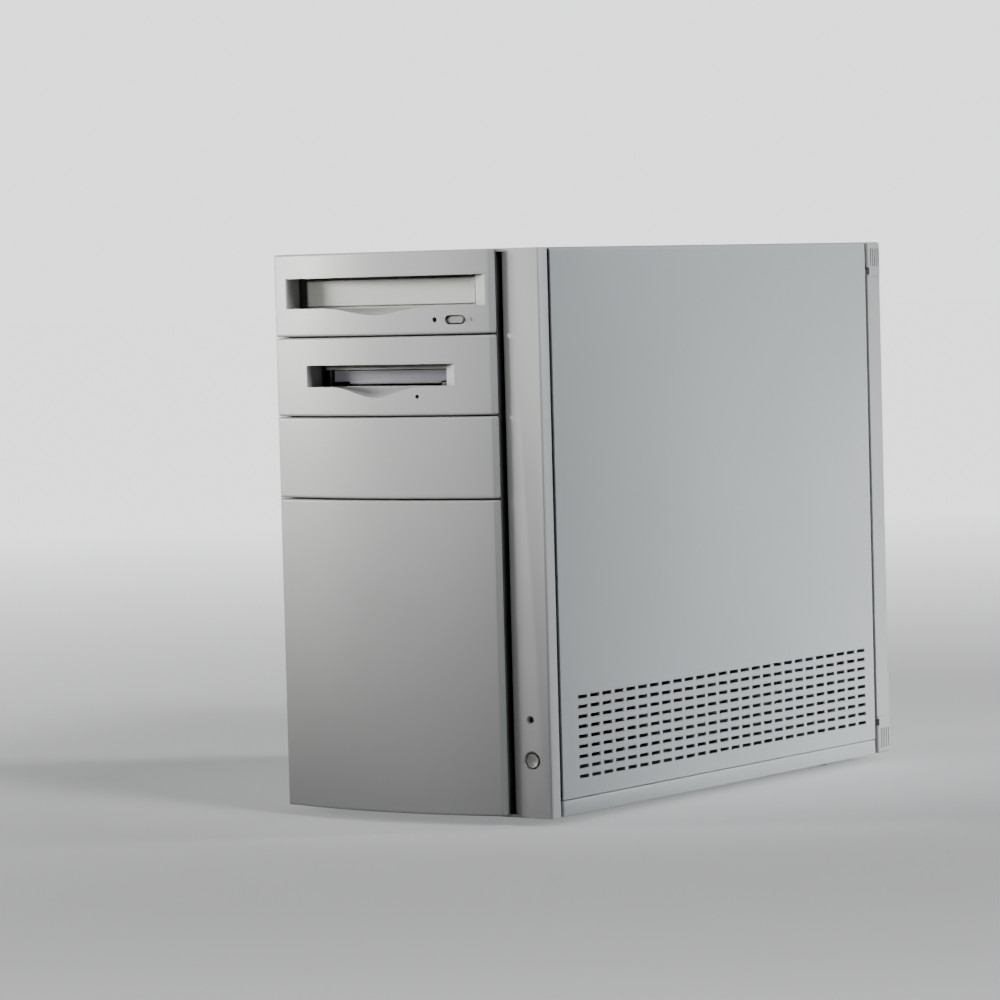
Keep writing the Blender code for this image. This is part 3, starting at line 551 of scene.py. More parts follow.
def flared_plan(lip_left, lip_right, left, right, throat):
    """Plan of a drive opening: curved flares from the lip down to a straight throat."""
    back = COLUMN_BACK + PAST
    front = COLUMN_APEX_Y - 2 * PAST

    def flare(lip, inner, along, down):
        start = Vector((lip, crown_y(lip)))
        end = Vector((inner, throat))
        middle = Vector((lip + (inner - lip) * along, start.y + (throat - start.y) * down))
        return bend(start, middle, end, 9)

    left_side = flare(lip_left, left, 1.0, 0.10)
    right_side = flare(lip_right, right, 0.50, 0.50)
    outline = [(lip_left, front)] + left_side + [(left, back), (right, back)] + right_side[::-1]
    return outline + [(lip_right, front)]


def scoop(centre, half_width, rim, depth, inner_y):
    """Thumb scoop: a bell-shaped dip that is deepest at the front and rises towards the throat."""
    steps, rows = 28, 10
    front = COLUMN_APEX_Y - 0.001
    sections = []
    for row in range(rows + 1):
        share = row / rows
        y = front + (inner_y - front) * share
        reach = math.cos(share * math.pi / 2) ** 0.8 if share < 1 else 0.0
        section = [(centre + half_width, y, rim + 0.0015), (centre - half_width, y, rim + 0.0015)]
        for step in range(steps + 1):
            along = step / steps
            x = centre - half_width + 2 * half_width * along
            section.append((x, y, rim - 0.0002 - depth * reach * math.sin(math.pi * along) ** 2))
        sections.append(section)
    return shape(add_loft, sections)


def finish_opening(piece, node):
    """Rounds the cut edges of a drive's front piece and puts it in place."""
    even_normals(round_off(piece, 0.00035, 2, 40))
    place(piece, "face_plastic", [node])


def build_plain_fronts():
    for node in ("lower_panel", "bay_cover"):
        piece = column_piece(node)
        bottom, top = side(node, 2, 0) + WALL, side(node, 2, 1) - WALL
        carve(piece, shape(prism, column_outline(WALL, COLUMN_BACK + PAST), bottom, top))
        place(even_normals(piece), "face_plastic", [node])


def build_disc_front():
    bottom, top = 0.3135, 0.3320
    lamp_x, lamp_z = 0.0327, 0.3052
    lip_left, lip_right = -0.0838, 0.0654
    tray_left, tray_right = side("cd_tray", 0, 0), side("cd_tray", 0, 1)
    button_x, _, button_z = centre_of("cd_eject_button")
    piece = column_piece("cd_bezel")
    plan = flared_plan(lip_left, lip_right, tray_left - 0.0014, tray_right + 0.0010, COLUMN_EDGE_Y + 0.0045)
    carve(piece, shape(prism, plan, bottom, top))
    carve(piece, shape(add_box, (tray_right + 0.0016, COLUMN_EDGE_Y - 0.0030, bottom + 0.0002),
                       (tray_right + 0.0024, COLUMN_BACK + 0.001, top - 0.0002)))
    carve(piece, scoop(-0.0095, 0.0390, bottom, 0.0046, COLUMN_EDGE_Y + 0.0030))
    hole = pill(button_x, button_z, 0.0134, 0.0055)
    work = shape(prism, hole, COLUMN_APEX_Y - PAST, COLUMN_BACK + PAST, "XZ")
    add_rod(work, (lamp_x, -0.2020, lamp_z), "Y", 0.0015, 0.0240, 20)
    carve(piece, work)
    finish_opening(piece, "cd_bezel")

    front = crown_y(button_x) + 0.0003
    sections = []
    for trim, y in ((0.0008, front), (0.0, front + 0.0005), (0.0, side("cd_eject_button", 1, 1))):
        sections.append([(x, y, z) for x, z in pill(button_x, button_z, 0.0123 - trim, 0.0045 - trim)])
    button = even_normals(finish_mesh(shape(add_loft, sections), "eject_key", [KEY], 30))
    place(button, "tray_plastic", ["cd_eject_button"], "cd_eject_button")
    work = shape(add_rod, (lamp_x, COLUMN_BACK - 0.0030, lamp_z), "Y", 0.0012, 0.0120, 16)
    finish(work, "drive_lamp", [LENS], "lamp_lens")


def build_eject_mark():
    """Plain mark beside the disc button: a triangle over a bar."""
    x, z, half = 0.0560, 0.3053, 0.0012
    skin = (crown_y(x) - 0.00004, crown_y(x) + 0.0002)
    bar_bottom, bar_top, base = z - 0.0011, z - 0.0008, z - 0.0004
    work = shape(prism, [(x - half, base), (x + half, base), (x, z + half)], *skin, "XZ")
    bar = [(x - half, bar_bottom), (x + half, bar_bottom), (x + half, bar_top), (x - half, bar_top)]
    prism(work, bar, *skin, "XZ")
    finish(work, "eject_mark", [BLACK], "shutter_grey")


def build_floppy_front():
    bottom, top = 0.2654, 0.2787
    lamp_x, lamp_z = 0.0195, 0.2592
    lip_left, lip_right, throat_left, throat_right = -0.0660, 0.0448, -0.0636, 0.0345
    piece = column_piece("floppy_bezel")
    plan = flared_plan(lip_left, lip_right, throat_left, throat_right, COLUMN_EDGE_Y + 0.0010)
    carve(piece, shape(prism, plan, bottom, top))
    carve(piece, scoop(-0.0105, 0.0330, bottom, 0.0066, COLUMN_EDGE_Y + 0.0040))
    carve(piece, shape(add_rod, (lamp_x, -0.2040, lamp_z), "Y", 0.0013, 0.0240, 20))
    finish_opening(piece, "floppy_bezel")
    work = shape(add_rod, (lamp_x, COLUMN_BACK - 0.0050, lamp_z), "Y", 0.0010, 0.0070, 16)
    finish(work, "floppy_lamp", [LENS], "lamp_lens")


# ---------------------------------------------------------------- front frame and controls
def build_front_frame():
    shoulder = -0.1845          # behind it the frame steps in under the covers
    right_radius, left_radius = 0.0017, 0.0030
    plan = arc((RIGHT - right_radius, STRIP_Y + right_radius), right_radius, -90, 0, 6)
    plan += [(RIGHT, shoulder), (LEFT, shoulder)]
    plan += arc((LEFT + left_radius, STRIP_Y + left_radius), left_radius, 180, 270, 8)
    work = shape(prism, plan, BODY_BOTTOM, BODY_TOP)
    piece = finish_mesh(work, "front_frame", [FACE, BLACK, FACE_SIDE_LIT])
    round_off(piece, 0.0005, 2, 50)
    spigot = ((-0.0955, shoulder - PAST, 0.0150), (0.0955, side("bezel_frame", 1, 1), 0.3425))
    carve(piece, shape(add_box, *spigot), "UNION")
    work = bmesh.new()
    for left, right, front, bottom, top in ((-0.0870, 0.0625, -0.200, 0.1985, 0.3405),
                                            (-0.0850, 0.0600, -0.200, 0.0200, 0.1900),
                                            (0.0775, 0.0930, -0.1895, 0.0175, 0.3400)):
        add_box(work, (left, front, bottom), (right, -0.170, top))
    carve(piece, work)

    groove_floor = STRIP_Y + 0.0088
    ahead = STRIP_Y - 0.001
    reach, dip = 0.0078, 0.0030
    flare = [(COLUMN_RIGHT, ahead), (COLUMN_RIGHT, groove_floor), (GROOVE_RIGHT, groove_floor)]
    for step in range(13):
        t = step / 12
        flare.append((GROOVE_RIGHT + reach * t, STRIP_Y + dip * (1 - t) ** 2.0))
    flare.append((GROOVE_RIGHT + reach, ahead))
    carve(piece, shape(prism, flare, 0.0068, 0.3450))

    for node, hole, rim in (("power_button", 0.0047, 0.0059), ("power_led_lens", 0.0017, 0.0027)):
        x, _, z = centre_of(node)
        lead = rim - hole
        depth = lead * 1.5
        profile = [(0, 0.014), (hole, 0.014), (hole, depth), (hole + lead * 0.55, depth * 0.45),
                   (rim, 0.0), (rim, -PAST), (0, -PAST)]
        carve(piece, shape(add_turned, profile, (x, STRIP_Y, z), "Y", 56))
    # Both side walls take the paler copy of the plastic: painted light.
    paint_faces(piece, 2, lambda c: c.x > RIGHT - 0.0004 or c.x < LEFT + 0.0004)
    paint_faces(piece, 1, lambda c: c.y > shoulder + 0.0003)
    # Faces deep in the groove beside the column take the black moulding: painted shade in the gap.
    paint_faces(piece, 1, lambda c: (COLUMN_RIGHT - 0.0002 < c.x < GROOVE_RIGHT + 0.0001
                                     and c.y > STRIP_Y + 0.0010))
    place(piece, "face_plastic", ["bezel_frame"])


def build_power_controls():
    x, _, z = centre_of("power_button")
    front, back = side("power_button", 1, 0), side("power_button", 1, 1)
    radius, length = 0.0044, back - front
    profile = [(0, 0.0011), (radius * 0.45, 0.0009), (radius * 0.72, 0.0004), (radius * 0.84, 0.0001),
               (radius * 0.93, 0.0001), (radius, 0.0007), (radius, length), (0, length)]
    finish(shape(add_turned, profile, (x, front, z), "Y", 64), "power_key", [ROUND_KEY],
           "face_plastic", ["power_button"], "power_button", 50)
    x, _, z = centre_of("power_led_lens")
    lens_front = side("power_led_lens", 1, 0) + 0.0012
    profile = [(0, 0.0), (0.0009, 0.0002), (0.0014, 0.0008), (0.0016, 0.0015), (0.0016, 0.0045), (0, 0.0045)]
    finish(shape(add_turned, profile, (x, lens_front, z), "Y", 40), "power_lamp", [LENS],
           "lamp_lens", ["power_led_lens"], sharp=50)


# ---------------------------------------------------------------- side door, cover, rails, rear frame
VENT_ROWS = 9
VENT_COLUMNS = 26
VENT_BOTTOM_Z = 0.0275
VENT_ROW_PITCH = 0.00603
VENT_START_Y = -0.1635
VENT_COLUMN_PITCH = 0.01329
VENT_LENGTH = 0.0099
VENT_HEIGHT = 0.0022


def sheet_section(side_sign, inner_end):
    """Section of a bent cover sheet: one tall side with a rounded shoulder and a top flange."""
    radius, steps = 0.0025, 10
    edge = side_sign * RIGHT
    centre = (edge - side_sign * radius, BODY_TOP - radius)
    start, end = (0, 90) if side_sign > 0 else (180, 90)
    points = [(edge, PANEL_BOTTOM)] + arc(centre, radius, start, end, steps)
    points += [(inner_end, BODY_TOP), (inner_end, BODY_TOP - SHEET)]
    points += arc(centre, radius - SHEET, end, start, steps)
    points.append((edge - side_sign * SHEET, PANEL_BOTTOM))
    return points


def vented_sheet(name, side_sign, inner_end):
    """Painted cover sheet with the rows of slots cut through its tall side."""
    work = shape(prism, sheet_section(side_sign, inner_end), PANEL_FRONT, PANEL_BACK, "XZ")
    sheet = round_off(finish_mesh(work, name, [PAINT]), 0.00025, 2, 50)
    near, far = sorted((side_sign * (RIGHT - 2 * PAST), side_sign * (RIGHT + PAST)))
    work = bmesh.new()
    for row in range(VENT_ROWS):
        z = VENT_BOTTOM_Z + row * VENT_ROW_PITCH
        for column in range(VENT_COLUMNS):
            y = VENT_START_Y + column * VENT_COLUMN_PITCH
            add_box(work, (near, y, z - VENT_HEIGHT / 2), (far, y + VENT_LENGTH, z + VENT_HEIGHT / 2))
    return even_normals(carve(sheet, work))


def build_covers():
    place(vented_sheet("door_panel", 1, 0.0969), "panel_paint", ["side_door"], "side_door")
    work = bmesh.new()
    inner = RIGHT - SHEET
    near, far = inner - 0.0060, inner + 0.0002
    for y in (PANEL_FRONT + 0.0050, PANEL_BACK - SHEET - 0.0050):
        add_box(work, (near, y, PANEL_BOTTOM + 0.012), (far, y + SHEET, BODY_TOP - 0.006), 0, 0.0002, 1)
    add_box(work, (near, PANEL_FRONT + 0.0065, PANEL_BOTTOM + 0.0004),
            (far, PANEL_BACK - 0.0065, PANEL_BOTTOM + 0.0012), 0, 0.0002, 1)
    finish(work, "door_folds", [PAINT], "panel_paint", body="side_door")
    place(vented_sheet("left_and_top_cover", -1, 0.0962), "panel_paint", ["cover_shell"])
    for node in ("base_rail_left", "base_rail_right"):
        finish(shape(add_box, *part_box(node), 0, 0.0008, 3), f"{node}_strip", [PAINT], "panel_paint", [node])


def build_rear_frame():
    inner = side("rear_frame", 1, 0)
    shoulder = inner + 0.0032
    work = shape(add_box, (LEFT, shoulder, BODY_BOTTOM), (RIGHT, REAR, BODY_TOP))
    piece = round_off(finish_mesh(work, "rear_surround", [FACE, BLACK]), 0.0018, 3, 40)
    spigot = ((-0.0955, inner, 0.0100), (0.0955, shoulder + PAST, 0.3420))
    carve(piece, shape(add_box, *spigot), "UNION")
    carve(piece, shape(add_box, (-0.0915, 0.180, 0.0146), (0.0915, 0.220, 0.3390)))
    step_low, step_high = 0.0292, 0.3244
    for sign in (1, -1):
        near, far = sorted((sign * (RIGHT - 0.0007), sign * (RIGHT + 0.005)))
        work = shape(add_box, (near, shoulder - 0.001, step_low), (far, REAR + 0.001, step_high))
        for rib in range(5):
            y = shoulder + 0.0034 + rib * 0.0024
            add_box(work, (near, y, step_high + 0.0065), (far, y + 0.0009, BODY_TOP - 0.0042))
            add_box(work, (near, y, BODY_BOTTOM + 0.0035), (far, y + 0.0009, step_low - 0.0075))
        carve(piece, work)
        near, far = sorted((sign * (RIGHT - 0.0030), sign * (RIGHT + 0.005)))
        work = bmesh.new()
        for z in (step_low - 0.0035, step_high + 0.0035):
            add_box(work, (near, shoulder - 0.001, z - 0.0022), (far, shoulder + 0.0020, z + 0.0022))
        carve(piece, work)
    paint_faces(piece, 1, lambda c: c.y < shoulder - 0.0002 and max(abs(c.x), c.z - 0.25) > 0.0915)
    place(even_normals(piece), "face_plastic", ["rear_frame"])


# ---------------------------------------------------------------- drives
DISC_X, DISC_Y = -0.0125, -0.1190   # middle of the disc in the tray


def build_disc_tray():
    low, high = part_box("cd_tray")
    bed_top = 0.3236
    work = shape(add_box, low, (high[0], low[1] + 0.0026, high[2]), 0, 0.0005, 3)
    tray = finish_mesh(work, "disc_tray", [FACE_WARM])
    bed = ((low[0] + 0.0018, low[1] + 0.0020, 0.3162), (high[0] - 0.0018, high[1], bed_top))
    carve(tray, shape(add_box, *bed), "UNION")
    for radius, rim, floor in ((0.0606, bed_top - 0.3240, -0.0022), (0.0408, -0.0022, -0.0034)):
        profile = [(0, 0.010), (radius, 0.010), (radius, rim), (radius - 0.0006, floor), (0, floor)]
        carve(tray, shape(add_turned, profile, (DISC_X, DISC_Y, bed_top), "Z", 96))
    slot_half, slot_front, slot_back = 0.0120, DISC_Y - 0.0170, -0.0580
    slot = ((DISC_X - slot_half, slot_front, 0.3100), (DISC_X + slot_half, slot_back, 0.3300))
    carve(tray, shape(add_box, *slot, 0, 0.004, 4))
    even_normals(round_off(tray, 0.0003, 2, 40))
    place(tray, "tray_plastic", ["cd_tray"], "cd_tray")

    work = bmesh.new()
    for x in (low[0] + 0.0030, high[0] - 0.0060):
        add_box(work, (x, -0.1700, 0.3152), (x + 0.0030, high[1] - 0.002, 0.3161), 0, 0.0002, 1)
    for step in range(40):
        y = -0.1500 + step * 0.0028
        add_box(work, (high[0] - 0.0100, y, 0.3154), (high[0] - 0.0072, y + 0.0014, 0.3161))
    finish(work, "tray_rack", [IVORY], "tray_plastic", body="cd_tray")

    plate_top = 0.3010
    profile = [(0, 0), (0.0125, 0), (0.0155, 0.0004), (0.0160, 0.0012), (0.0160, 0.0050), (0, 0.0050)]
    work = shape(add_turned, profile, (DISC_X, DISC_Y, plate_top), "Z", 48)
    add_box(work, (DISC_X - 0.045, -0.150, plate_top - 0.0012), (DISC_X + 0.045, -0.040, plate_top),
            1, 0.0003, 1)
    finish(work, "disc_turntable", [BLACK, ZINC], "dark_plastic")


def build_floppy_drive():
    low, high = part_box("floppy_shutter")
    bottom, notch, pin_z = 0.2667, 0.0015, 0.2745
    outline = [(low[0], pin_z), (low[0], bottom + notch), (-0.0450, bottom + notch), (-0.0442, bottom),
               (0.0240, bottom), (0.0248, bottom + notch), (high[0], bottom + notch), (high[0], pin_z)]
    work = shape(prism, outline, low[1] + 0.0001, high[1] - 0.0001, "XZ")
    shutter = round_off(finish_mesh(work, "slot_shutter", [SHUTTER]), 0.0002, 2, 40)
    x, y, _ = centre_of("floppy_shutter")
    carve(shutter, shape(add_rod, (x, y, pin_z), "X", 0.00058, high[0] - low[0], 20), "UNION", True)
    place(shutter, "shutter_grey", ["floppy_shutter"], "floppy_shutter")

    key = "floppy_eject_button"
    finish(shape(add_box, *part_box(key), 0, 0.0004, 3), "floppy_key", [KEY_DARK], "dark_plastic", [key], key)
    low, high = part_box("floppy_drive_face")
    face = finish_mesh(shape(add_box, low, high, 0, 0.0003, 2), "floppy_front", [FACE_WARM])
    carve(face, shape(add_box, (-0.0640, low[1] - PAST, 0.2640), (0.0360, high[1] + PAST, 0.2755)))
    place(face, "face_plastic", ["floppy_drive_face"])
    # Black sheets behind the floppy slot: painted shade standing in for the dark inside of the drive.
    work = shape(add_box, (-0.0648, -0.1880, 0.2575), (-0.0644, -0.1700, 0.2800))
    add_box(work, (-0.0642, -0.1705, 0.2575), (0.0380, -0.1695, 0.2800))
    finish(work, "slot_shade_sheet", [BLACK], "dark_plastic")


def build_hard_drive():
    low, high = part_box("hard_drive")
    x = centre_of("hard_drive")[0]
    body_bottom, body_top = low[2] + 0.0016, high[2] - 0.0008
    work = shape(add_box, (low[0], low[1], body_bottom), (high[0], high[1], body_top), 0, 0.0012, 3)
    add_box(work, (low[0] + 0.003, low[1] + 0.003, body_top),
            (high[0] - 0.003, high[1] - 0.003, high[2]), 1, 0.0003, 1)
    add_box(work, (low[0] + 0.002, low[1] + 0.010, low[2]),
            (high[0] - 0.002, high[1] - 0.001, low[2] + 0.0014), 2)
    add_box(work, (x - 0.040, high[1] - 0.0002, low[2] + 0.0020),
            (x + 0.012, high[1] - 0.0001, low[2] + 0.0100), 3)
    finish(work, "hard_drive_body", [ALU, ZINC_FINE, MASK, BLACK], "heatsink_aluminium", ["hard_drive"])
    label = ((low[0] + 0.018, low[1] + 0.030, high[2] + 0.00005),
             (high[0] - 0.018, low[1] + 0.100, high[2] + 0.00015))
    finish(shape(add_box, *label), "drive_label", [LABEL], "heatsink_aluminium")


# ---------------------------------------------------------------- boards, cards and cooling
BOARD_FACE = side("motherboard", 0, 1)


def on_board(work, height, y, z, size_y, size_z, slot=0, lift=0.0002, bevel=0.0):
    """A block on the board's face, from just above the board up to its height."""
    add_box(work, (BOARD_FACE + lift, y - size_y / 2, z - size_z / 2),
            (BOARD_FACE + height, y + size_y / 2, z + size_z / 2), slot, bevel, 1)


def chip(work, y, z, width, height, pins):
    """Flat package on the board: body in slot 0, leads in slot 1."""
    on_board(work, 0.0020, y, z, width, height, 0, 0.0003, 0.0002)
    pitch = width / (pins + 1)
    lead = 0.0010
    for step in range(pins):
        pin_y = y - width / 2 + pitch * (step + 1)
        for edge in (-1, 1):
            on_board(work, 0.0005, pin_y, z + edge * (height + lead) / 2, pitch * 0.44, lead, 1, 0.0001)


def build_board_chips():
    work = bmesh.new()
    for y, z, width, height, pins in ((0.036, 0.128, 0.028, 0.028, 16), (0.120, 0.118, 0.024, 0.024, 14),
                                      (0.010, 0.030, 0.020, 0.012, 9), (0.150, 0.024, 0.014, 0.010, 7),
                                      (0.060, 0.094, 0.012, 0.008, 5), (0.130, 0.232, 0.010, 0.006, 4),
                                      (0.040, 0.240, 0.012, 0.006, 5), (0.100, 0.100, 0.010, 0.006, 4)):
        chip(work, y, z, width, height, pins)
    on_board(work, 0.0060, 0.039, 0.0245, 0.028, 0.0040, 2, bevel=0.0003)
    pin_pitch = 0.00254
    for z in (0.0195, 0.0300):
        on_board(work, 0.0080, 0.086, z, 0.052, 0.0050, 2, bevel=0.0003)
        for pin in range(20):
            for row in (-0.0012, 0.0012):
                on_board(work, 0.0086, 0.0627 + pin * pin_pitch, z + row, 0.0006, 0.0006, 1, 0.0075)
    finish(work, "board_chips", [CHIP, TIN, BLACK], "dark_plastic")


def build_board_parts():
    """Capacitors and a scatter of small surface parts."""
    scatter = random.Random(7)
    work = bmesh.new()
    spots = [(0.072, 0.200 + 0.011 * step) for step in range(4)]
    spots += [(0.086, 0.205 + 0.011 * step) for step in range(4)]
    spots += [(0.074, 0.172), (0.087, 0.174), (0.020, 0.052), (0.165, 0.098), (0.074, 0.144)]
    for y, z in spots:
        radius = scatter.choice((0.0031, 0.0040))
        height = radius * 3.0
        rim = (radius * 0.90, height + 0.0003)
        can = [(0, 0), (radius, 0), (radius, 0.0009), (radius * 0.93, 0.0014), (radius, 0.0019),
               (radius, height)]
        add_turned(work, can + [rim], (BOARD_FACE, y, z), "X", 20, 0)
        add_turned(work, [rim, (0, rim[1])], (BOARD_FACE, y, z), "X", 20, 1)
    finish(work, "board_capacitors", [BLUE, TIN], "dark_plastic", sharp=40)

    work = bmesh.new()
    for _ in range(150):
        y = scatter.uniform(-0.004, 0.168)
        z = scatter.uniform(0.020, 0.248)
        under_heatsink = 0.004 < y < 0.066 and 0.160 < z < 0.230
        if under_heatsink:
            continue
        size_y, size_z = (0.0018, 0.0010) if scatter.random() < 0.5 else (0.0010, 0.0018)
        on_board(work, 0.0006, y, z, size_y, size_z, scatter.randint(0, 1), 0.0)
    finish(work, "board_surface_parts", [CHIP, TIN], "dark_plastic")


def build_coils_and_cell():
    work = bmesh.new()
    turns, ring = 9, Matrix.Translation((0, 0.0042, 0))
    for y, z in ((0.084, 0.190), (0.074, 0.158)):
        middle = Matrix.Translation((BOARD_FACE + 0.0034, y, z))
        for turn in range(turns):
            around = Matrix.Rotation(turn * 2 * math.pi / turns, 4, "X")
            add_cylinder(work, middle @ around @ ring, 0.0021, 0.0030, 10)
    finish(work, "board_coils", [GOLD], "guard_chrome", sharp=40)
    y, z = 0.148, 0.140
    work = shape(add_rod, (BOARD_FACE + 0.0022, y, z), "X", 0.0112, 0.0036, 40, 0)
    add_rod(work, (BOARD_FACE + 0.0044, y, z), "X", 0.0100, 0.0030, 40, 1)
    finish(work, "clock_cell", [BLACK, TIN], "guard_chrome")


def build_memory():
    low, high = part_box("memory_module")
    near, far = -0.0112, -0.0099
    chip_low, chip_high = -0.0705, -0.0598
    work = shape(add_box, (low[0], near, low[2]), (high[0], far, high[2]), 0)
    for step in range(8):
        z = 0.0755 + 0.0155 * step
        for front, back in ((low[1], near + 0.0001), (far - 0.0001, high[1])):
            add_box(work, (chip_low, front, z - 0.0056), (chip_high, back, z + 0.0056), 1, 0.0002, 1)
    for step in range(80):
        z = low[2] + 0.003 + step * 0.0016
        add_box(work, (low[0], near - 0.00005, z), (low[0] + 0.0030, near + 0.00002, z + 0.0010), 2)
    finish(work, "memory_stick", [MASK, CHIP, GOLD], "board_green", ["memory_module"])

    low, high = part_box("memory_sockets")
    work = bmesh.new()
    for y in (-0.0105, -0.0015):
        for z in (low[2] + 0.0022, high[2] - 0.0022):
            add_box(work, (low[0] + 0.001, y - 0.0026, z - 0.0021),
                    (high[0] - 0.0001, y + 0.0026, z + 0.0021), 0, 0.0004, 2)
    finish(work, "memory_latches", [LABEL], "socket_ivory")


def build_heatsink():
    low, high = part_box("cpu_heatsink")
    fins, base = 17, low[0] + 0.0060
    work = shape(add_box, low, (base, high[1], high[2]), 0, 0.0003, 1)
    pitch = (high[1] - low[1]) / fins
    for fin in range(fins):
        y = low[1] + pitch * fin + 0.0002
        add_box(work, (base, y, low[2]), (high[0], y + pitch * 0.42, high[2]), 0)
    finish(work, "processor_heatsink", [ALU], "heatsink_aluminium", ["cpu_heatsink"])


def build_card_parts():
    top = 0.0830   # upper face of the card's board
    work = bmesh.new()
    for x, y, width, depth, height in ((-0.030, 0.105, 0.0300, 0.0300, 0.0012),
                                       (-0.041, 0.0575, 0.0080, 0.0250, 0.0020),
                                       (-0.021, 0.0575, 0.0080, 0.0250, 0.0020),
                                       (-0.005, 0.1350, 0.0120, 0.0080, 0.0016)):
        add_block(work, (x, y, top + 0.0009 + height / 2), (width, depth, height), 0, 0.0002, 1)
    fin_top = side("graphics_card", 2, 1) - 0.0001
    for fin in range(8):
        y = 0.0915 + fin * 0.0036
        add_box(work, (-0.0442, y, top + 0.0020), (-0.0158, y + 0.0012, fin_top), 1)
    for spot in range(3):
        add_rod(work, (0.008, 0.060 + 0.012 * spot, top + 0.0022), "Z", 0.0030, 0.0034, 18, 1)
    finish(work, "card_parts", [CHIP, ALU], "dark_plastic")


def fan_wheel(node, name, centre, axis, hub_radius, tip_radius, depth, pitch):
    """Moulded impeller: capped hub and twisted blades thickened at the root."""
    half, edge, count, rings = depth / 2, 0.0010, 7, 7
    profile = [(0, half), (hub_radius - edge, half), (hub_radius, half - edge), (hub_radius, -half + edge),
               (hub_radius - edge, -half), (0, -half)]
    work = shape(add_turned, profile, (0, 0, 0), "Z", 48)
    for blade in range(count):
        start = 2 * math.pi * blade / count
        sections = []
        for ring in range(rings):
            share = ring / (rings - 1)
            radius = hub_radius - 0.0006 + (tip_radius - hub_radius + 0.0004) * share
            slope = math.radians(pitch[0] + (pitch[1] - pitch[0]) * share)
            chord = 0.92 * depth / max(math.sin(slope), 0.35)
            reach = min(chord * math.cos(slope), 2 * math.pi * radius / count * 0.86)
            thick = 0.0008 - 0.0003 * share
            rise = depth * 0.45
            section = []
            for u, lift in ((-0.5, -1), (0.0, -1), (0.5, -1), (0.5, 1), (0.0, 1), (-0.5, 1)):
                turn = start + u * reach / radius + 0.22 * share
                camber = 0.0007 * (1 - (2 * u) ** 2)
                height = u * 2 * rise * 0.96 + lift * thick / 2 + camber
                section.append((radius * math.cos(turn), radius * math.sin(turn), height))
            sections.append(section)
        add_loft(work, sections)
    bmesh.ops.transform(work, matrix=Matrix.Translation(centre) @ AXIS_TURNS[axis], verts=work.verts)
    finish(work, name, [BLACK], "dark_plastic", [node], node, 40)


def add_torus(work, centre, radius, wire):
    """Closed wire ring around Y."""
    corners, around = 8, 64
    grid = []
    for step in range(around):
        angle = 2 * math.pi * step / around
        ring = []
        for corner in range(corners):
            turn = 2 * math.pi * corner / corners
            out = radius + wire * math.cos(turn)
            ring.append(work.verts.new((centre[0] + out * math.cos(angle), centre[1] + wire * math.sin(turn),
                                        centre[2] + out * math.sin(angle))))
        grid.append(ring)
    for step in range(around):
        here, following = grid[step], grid[(step + 1) % around]
        for corner in range(corners):
            near = (corner + 1) % corners
            work.faces.new((here[corner], here[near], following[near], following[corner]))


def build_cooling():
    low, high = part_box("cpu_fan_rotor")
    middle = ((low[0] + high[0]) / 2, 0.0350, 0.1950)
    fan_wheel("cpu_fan_rotor", "processor_fan_wheel", middle, "X", 0.0098, 0.0221,
              high[0] - low[0] - 0.0002, (38, 24))
    low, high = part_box("psu_fan_rotor")
    x, z = -0.0430, 0.2990
    fan_wheel("psu_fan_rotor", "supply_fan_wheel", (x, (low[1] + high[1]) / 2, z), "Y", 0.0140, 0.0344,
              high[1] - low[1] - 0.0004, (40, 26))
    half = 0.0400
    work = shape(add_box, (x - half, 0.1640, z - half), (x + half, 0.1883, z + half), 0, 0.0020, 3)
    housing = finish_mesh(work, "supply_fan_housing", [BLACK])
    carve(housing, shape(add_rod, (x, 0.1760, z), "Y", 0.0368, 0.0400, 64))
    place(even_normals(housing), "dark_plastic")

    work = bmesh.new()
    y, wire = centre_of("psu_fan_guard")[1], 0.0007
    for radius in (0.0375, 0.0295, 0.0215, 0.0135):
        add_torus(work, (x, y, z), radius, wire)
    spoke = Matrix.Translation((0.0255, 0, 0)) @ AXIS_TURNS["X"]
    for angle in (45, 135, 225, 315):
        turn = Matrix.Translation((x, y + 0.0002, z)) @ Matrix.Rotation(math.radians(angle), 4, "Y")
        add_cylinder(work, turn @ spoke, wire, 0.0250, 10)
    bmesh.ops.recalc_face_normals(work, faces=work.faces)
    finish(work, "fan_grille", [CHROME], "guard_chrome", ["psu_fan_guard"], sharp=50)


# ---------------------------------------------------------------- rear connectors, screws and leads
CONTACT_PITCH = 0.00277


def d_outline(x, z, half_length, half_width):
    """D-shaped socket outline: the side towards low x is the shorter one."""
    corner, taper = 0.0016, 0.0011
    top, bottom = z + half_length, z - half_length
    corners = [Vector(point) for point in ((x + half_width, top), (x - half_width, top - taper),
                                           (x - half_width, bottom + taper), (x + half_width, bottom))]
    points = []
    for index, here in enumerate(corners):
        before, after = corners[index - 1], corners[(index + 1) % 4]
        start = here + (before - here).normalized() * corner
        stop = here + (after - here).normalized() * corner
        points += bend(start, here, stop, 4)
    return points


